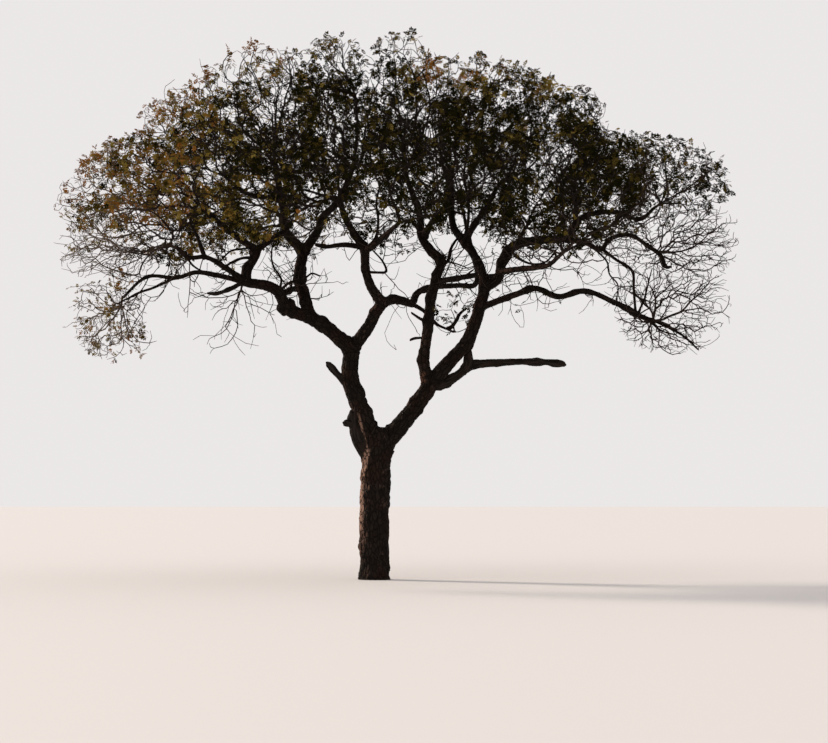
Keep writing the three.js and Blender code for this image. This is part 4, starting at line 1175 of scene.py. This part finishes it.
UNDER_ROOT = (-2890, 6400, -1290)
tubes = {"left": Tubes(), "right": Tubes()}
leaf_spots = []
in_view = [limb for name, limb in limbs.items() if not name.startswith(("back_", "front_"))]
shown = [(limb["axis"], limb["radii"]) for limb in in_view]
for order, (mass_name, (bough_name, leafy, bare, centre, reach, far_tip)) in enumerate(MASSES.items()):
    chance = Chance(FIRST_SEED + SEED_STEP * order)
    rng = np.random.default_rng(TWIG_SEED + order)
    bough = limbs[bough_name]
    space = spaces[mass_name]
    thick = bough["ring_radii"][-1]
    foot, heading = bough["tip"], bough["heading"]
    if mass_name == "left_under_mass":
        foot, heading = place(UNDER_ROOT), np.array([-0.2, 0, -0.98])
    if mass_name == "left_hanging_mass":
        heading = np.array([-0.1, 0, -0.99])
    stem = foot + heading * STEM_LENGTH
    main_ends = spread_ends(space, leafy + bare, [place(far_tip)] if far_tip else [], chance)
    main_ends = [end for end in main_ends if not touches_wood(stem, end, thick * 0.6)]

    plain = Twigs(stem, heading)
    plain.join(main_ends, thick * 0.6, plain.add)
    plain_tips, _ = plain.count_tips()
    by_tips = range(1, len(plain.points))
    ranked = sorted(by_tips, key=lambda joint: (plain_tips[joint], -plain.points[joint][2]))
    leafy_joints = set(ranked[:leafy])

    lift = -0.10 if leafy > bare else 0.10
    twigs = Twigs(stem, heading)
    joint_of = {0: 0}
    for joint in range(1, len(plain.points)):
        bend = twigs.bend_to(plain.points[joint], joint_of[plain.parents[joint]], lift * 0.5, rng)
        joint_of[joint] = bend[-1]
    for back, line in LEADERS.get(mass_name, ()):
        twigs.lead(line, back, rng)
    density = OTHER_ENDS.get(mass_name, LEAFY_ENDS if leafy > bare else BARE_ENDS)
    ends = fine_ends(space, density, rng)
    balance = BALANCE if leafy > bare else FAN_BALANCE
    twigs.join(ends, 0.01, lambda end, parent: twigs.bend_to(end, parent, lift, rng), balance)
    tips, children = twigs.count_tips()
    swell = math.log(thick / TWIG_TIP) / math.log(tips[0])

    group = tubes[side_of(space.centre[0])]
    main_chain = max(children[0], key=lambda child: tips[child])
    for chain in twigs.chains(tips, children):
        axis = np.array([twigs.points[joint] for joint in chain])
        radii = TWIG_TIP * tips[chain] ** swell
        if chain[0] == 0 and chain[1] == main_chain:
            axis = np.vstack([foot - heading * 0.05, foot, axis])
            radii = np.concatenate([[thick * 0.9, thick], radii])
        else:
            radii[0] = min(radii[1], radii[0] * 0.6)
        radii[-1] *= 0.7
        thickest = radii.max()
        group.add(axis, radii, 8 if thickest > THICK_TWIG else 5 if thickest > SLIM_TWIG else 3)
        if thickest > THICK_TWIG and not mass_name.startswith(("back_", "front_")):
            covering = radii > COVERING_TWIG
            shown.append((axis[covering], radii[covering]))

    main_points = np.array(plain.points[1:])
    has_leaves = np.array([joint in leafy_joints for joint in range(1, len(plain.points))])
    for joint in range(1, len(twigs.points)):
        if children[joint]:
            continue
        nearest = np.argmin(np.linalg.norm(main_points - twigs.points[joint], axis=1))
        if has_leaves[nearest]:
            add_leaf_spots(twigs, joint)

# Side twigs. Short twigs of the same young wood break out along the upper boughs, under the crown. Each is
# rooted inside its bough, and fewer than half of them carry leaves.
SIDE_TWIG_SEED = 300
SIDE_TWIG_STEP = 0.42
SIDE_TWIGS_FROM = 5.9
SIDE_TWIG_ENDS = 7
SIDE_TWIG_SWELL = 0.42
LEAFY_SIDE_TWIGS = 0.45

for order, (name, limb) in enumerate(limbs.items()):
    if name in dead_members or name in ("trunk", "left_stem", "right_stem"):
        continue
    rng = np.random.default_rng(SIDE_TWIG_SEED + order)
    group = tubes[side_of(limb["axis"][:, 0].mean())]
    for _ in range(int(limb["length"] / SIDE_TWIG_STEP)):
        at = rng.integers(len(limb["axis"]) // 4, len(limb["axis"]) - 1)
        foot, radius = limb["axis"][at], limb["radii"][at]
        if foot[2] < SIDE_TWIGS_FROM:
            continue
        sideways = rng.normal(0, 1, 3) + np.array([0, 0, 0.25])
        sideways = unit(sideways - sideways @ limb["ways"][at] * limb["ways"][at])
        way = unit(sideways + 0.5 * limb["ways"][at])
        root = foot + sideways * radius * 0.6
        twigs = Twigs(root, way)
        size = rng.uniform(0.35, 0.95)
        outward = way * rng.uniform(0.5, 1.1, (SIDE_TWIG_ENDS, 1))
        ends = root + size * (outward + rng.normal(0, 0.38, (SIDE_TWIG_ENDS, 3)))
        for end in ends:
            near = int(np.argmin(np.linalg.norm(np.array(twigs.points) - end, axis=1)))
            twigs.bend_to(end, near, -0.08, rng)
        tips, children = twigs.count_tips()
        for chain in twigs.chains(tips, children):
            radii = TWIG_TIP * tips[chain] ** SIDE_TWIG_SWELL
            radii[-1] *= 0.7
            group.add(np.array([twigs.points[joint] for joint in chain]), radii, 3)
        if rng.random() < LEAFY_SIDE_TWIGS:
            for joint in range(1, len(twigs.points)):
                if not children[joint]:
                    add_leaf_spots(twigs, joint)


def twig_finish():
    """Smooth young bark: warm grey-brown, darker in painted shade inside the crown and paler on its far left.
    """
    twig = Finish("twig_bark", shine=0.04, roughness=0.85)
    here = twig.here()
    broad = twig.noise(here, 3.0, 2)
    fine = twig.noise(here, 45, 3)
    tone = twig.mix(broad.between(0.35, 0.65), (0.014, 0.010, 0.008, 1), (0.042, 0.028, 0.021, 1))
    right = twig.part_of(here, "X")
    height = twig.part_of(here, "Z")
    # Painted shade: twigs inside the crown, above the fork, are darker.
    crown_shade = right.inside((-4.6, -3.4), (4.6, 5.6)) * height.between(6.6, 7.6)
    tone = twig.mix(crown_shade * 0.75, tone, (0.007, 0.0055, 0.004, 1))
    tone = twig.mix(0.9 - 0.9 * right.between(-5.6, -4.6), tone, (0.125, 0.095, 0.074, 1))
    twig.set(base_color=twig.mix(fine.between(0.4, 0.7) * 0.5, tone, (0.022, 0.016, 0.013, 1)))
    twig.bump(fine, 0.5, 0.004)
    return twig


twig_bark = twig_finish()
bare_masses = [name for name, plan in MASSES.items() if plan[2] >= plan[1]]
for side_name, group in tubes.items():
    piece = group.piece(f"{side_name}_twigs")
    piece.data.polygons.foreach_set("use_smooth", np.ones(len(piece.data.polygons), bool))
    twig_bark.put_on(piece)
    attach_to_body(piece, "root")
    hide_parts(*(n for n in bare_masses if side_of(spaces[n].centre[0]) == side_name))

# Leaves. Each leaf has three pairs of folded oval leaflets and one at its end, on a thin stalk. They grow
# in rosettes at the twigs' ends. Late in the dry season many have turned olive, ochre and orange; the
# lighter tints also carry painted sunlight on the crown's top and left side, and the darkest green painted
# shade.
LEAFLET = (0.057, 0.030)
# The darkest green stands partly for painted shade, and the lighter tints partly for painted sunlight.
TINTS = {
    "dark_green": ((0.006, 0.0065, 0.002), (0.013, 0.012, 0.0035)),
    "olive": ((0.040, 0.030, 0.007), (0.070, 0.050, 0.012)),
    "yellow_green": ((0.135, 0.100, 0.022), (0.225, 0.162, 0.038)),
    "ochre": ((0.155, 0.088, 0.019), (0.235, 0.130, 0.028)),
    "orange": ((0.185, 0.078, 0.017), (0.265, 0.112, 0.024)),
}
TINT_EDGES = (0.36, 0.58, 0.74, 0.90)
PIECE_LIMIT = 175000
LEAF_KINDS = 8
LEAF_TURN = 2.4
SMALL_LEAF = 0.72


def leaflet(start, way, across, up, size):
    """The six points of a leaflet: two flat halves that meet at a folded middle line."""
    length, width = size
    fold = up * width * 0.16
    return [
        start,
        start + way * length * 0.28 + across * width * 0.48 + fold,
        start + way * length * 0.66 + across * width * 0.44 + fold,
        start + way * length,
        start + way * length * 0.66 - across * width * 0.44 + fold,
        start + way * length * 0.28 - across * width * 0.48 + fold,
    ]


def leaf_shape(rng):
    """One leaf along +X with its upper side up: its points, four to a face."""
    up = np.array([0, 0, 1.0])
    points, faces = [], []
    stalk = [np.array([x, 0, -1.6 * x * x + rng.normal(0, 0.004)]) for x in (0, 0.04, 0.075, 0.11)]
    for joint in stalk[1:4]:
        for turn in (1, -1):
            angle = turn * math.radians(rng.uniform(48, 72))
            way = unit(np.array([math.cos(angle), math.sin(angle), rng.uniform(-0.45, 0.15)]))
            across = unit(np.cross(up, way))
            faces.append(len(points))
            size = np.array(LEAFLET) * rng.uniform(0.85, 1.1)
            points += leaflet(joint, way, across, np.cross(way, across), size)
    way = unit(np.array([1, rng.uniform(-0.2, 0.2), -0.4]))
    across = unit(np.cross(up, way))
    faces.append(len(points))
    points += leaflet(stalk[3], way, across, np.cross(way, across), np.array(LEAFLET) * 1.15)
    quads = [[f + i for i in half] for f in faces for half in ((0, 3, 2, 1), (0, 5, 4, 3))]
    first = len(points)
    thin = np.array([0, 0.002, 0])
    points += [stalk[0] - thin, stalk[0] + thin, stalk[3] + thin, stalk[3] - thin]
    quads.append([first, first + 3, first + 2, first + 1])
    return np.array(points), np.array(quads)


rng = np.random.default_rng(7)
leaf_shapes = [leaf_shape(rng) for _ in range(LEAF_KINDS)]


def hides_limbs(points):
    """Whether a leaf at each point would hide a limb that shows through the leaves. The dense crest right
    of the middle shows none."""
    hides = np.zeros(len(points), bool)
    spots = seen(points)
    for axis, radii in shown:
        seen_axis = seen(axis)
        inside = np.all((spots > seen_axis.min(0) - 0.3) & (spots < seen_axis.max(0) + 0.3), axis=1)
        chosen = np.flatnonzero(inside)
        for at, centre, radius in zip(axis, seen_axis, radii):
            near = np.linalg.norm(spots[chosen] - centre, axis=1) < radius + 0.08
            hides[chosen] |= near & (points[chosen, 1] < at[1])
    return hides & ~((spots[:, 0] > 1.4) & (spots[:, 1] > 9.3))


def tints_at(points, rng):
    """Each spray's tint, partly how far its leaves have turned and partly painted light: sprays on the left
    and near the crown's top are painted lighter.
    """
    right, up = seen(points).T
    # Painted light: sprays further left are lighter.
    left = ramp(right, -0.6, -3.4)
    below_crest = np.interp(right, *zip(*CREST)) - up
    # Painted highlight: sprays near the crown's top are lighter.
    lit_top = np.clip(1.15 - below_crest / 0.9, 0, 1) * np.clip((6 - right) / 3, 0.25, 1)
    patch = waves(points, 0.9, 5.3)
    hanging = 0.1 * ramp(right, -4.6, -0.3) * ramp(up, 6.8, -0.4)
    orange_side = 0.2 * within(right, up, (-4.9, 8.5, 1.0, 0.9))
    golden = 0.35 * in_golden_clump(right, up)
    turned = 0.10 + 0.46 * left + 0.45 * lit_top + hanging + orange_side + golden
    turned += 0.30 * patch + rng.normal(0, 0.13, len(points))
    return np.digitize(turned, TINT_EDGES)


spots = np.array([spot for spot, _, _ in leaf_spots])
ways = np.array([way for _, way, _ in leaf_spots])
most = np.array([count for _, _, count in leaf_spots])
share = leaf_share(spots) * np.where(hides_limbs(spots), 0.2, 1)
counts = rng.binomial(most, np.clip(0.96 * share, 0, 1))
tint_numbers = tints_at(spots, rng)
sprays = {tint: [] for tint in TINTS}
for spot, way, count, tint_number in zip(spots, ways, counts, tint_numbers):
    side = unit(np.cross(way, rng.normal(0, 1, 3)))
    for i in range(count):
        turn = i * LEAF_TURN + rng.uniform(-0.4, 0.4)
        out = math.cos(turn) * side + math.sin(turn) * np.cross(way, side)
        lean = rng.uniform(0.15, 1.1)
        along = unit(way * lean + out - np.array([0, 0, 0.25]))
        up = unit(np.array([0, 0, 1.0]) + rng.normal(0, 0.45, 3))
        across = unit(np.cross(up, along))
        small = SMALL_LEAF if spot[0] < -4.6 and spot[2] < 6.8 else 1
        leaf = (spot, along, across, np.cross(along, across), small * rng.uniform(0.8, 1.15))
        turned = min(len(TINTS) - 1, max(0, tint_number + rng.choice((-1, 0, 0, 0, 1))))
        sprays[list(TINTS)[turned]].append(leaf)


def leaf_finish(name, dark, light):
    """A matt leaf in two near tones."""
    leaf = Finish(name, shine=0.0, roughness=0.8)
    here = leaf.here()
    leaf.set(base_color=leaf.mix(leaf.noise(here, 9, 1).between(0.3, 0.7), (*dark, 1), (*light, 1)))
    return leaf


leafy_masses = [name for name in MASSES if name not in bare_masses]
for tint, leaves in sprays.items():
    finish = leaf_finish(f"{tint}_leaf", *TINTS[tint])
    leaves.sort(key=lambda leaf: leaf[0][0])
    faces_each = len(leaf_shapes[0][1])
    parts = math.ceil(2 * faces_each * len(leaves) / PIECE_LIMIT)
    for part in range(parts):
        of_part = leaves[part * len(leaves) // parts : (part + 1) * len(leaves) // parts]
        blocks, corners, base = [], [], 0
        for kind, (shape, quads) in enumerate(leaf_shapes):
            members = of_part[kind :: len(leaf_shapes)]
            places, alongs, acrosses, ups, sizes = (np.array(column) for column in zip(*members))
            turns = np.stack([alongs, acrosses, ups], axis=1) * sizes[:, None, None]
            blocks.append((places[:, None] + np.einsum("pk,nkj->npj", shape, turns)).reshape(-1, 3))
            starts = base + np.arange(len(members)) * len(shape)
            corners.append((starts[:, None, None] + quads[None]).reshape(-1))
            base += len(members) * len(shape)
        corners = np.concatenate(corners)
        name = f"{tint}_leaves_{part + 1}"
        piece = mesh_piece(name, np.vstack(blocks), corners, np.full(len(corners) // 4, 4))
        finish.put_on(piece)
        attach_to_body(piece, "root")
        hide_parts(*leafy_masses)

boxes = {"cad": cad_box, "visual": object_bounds()}
{name: [list(corner) for corner in box] for name, box in boxes.items()}
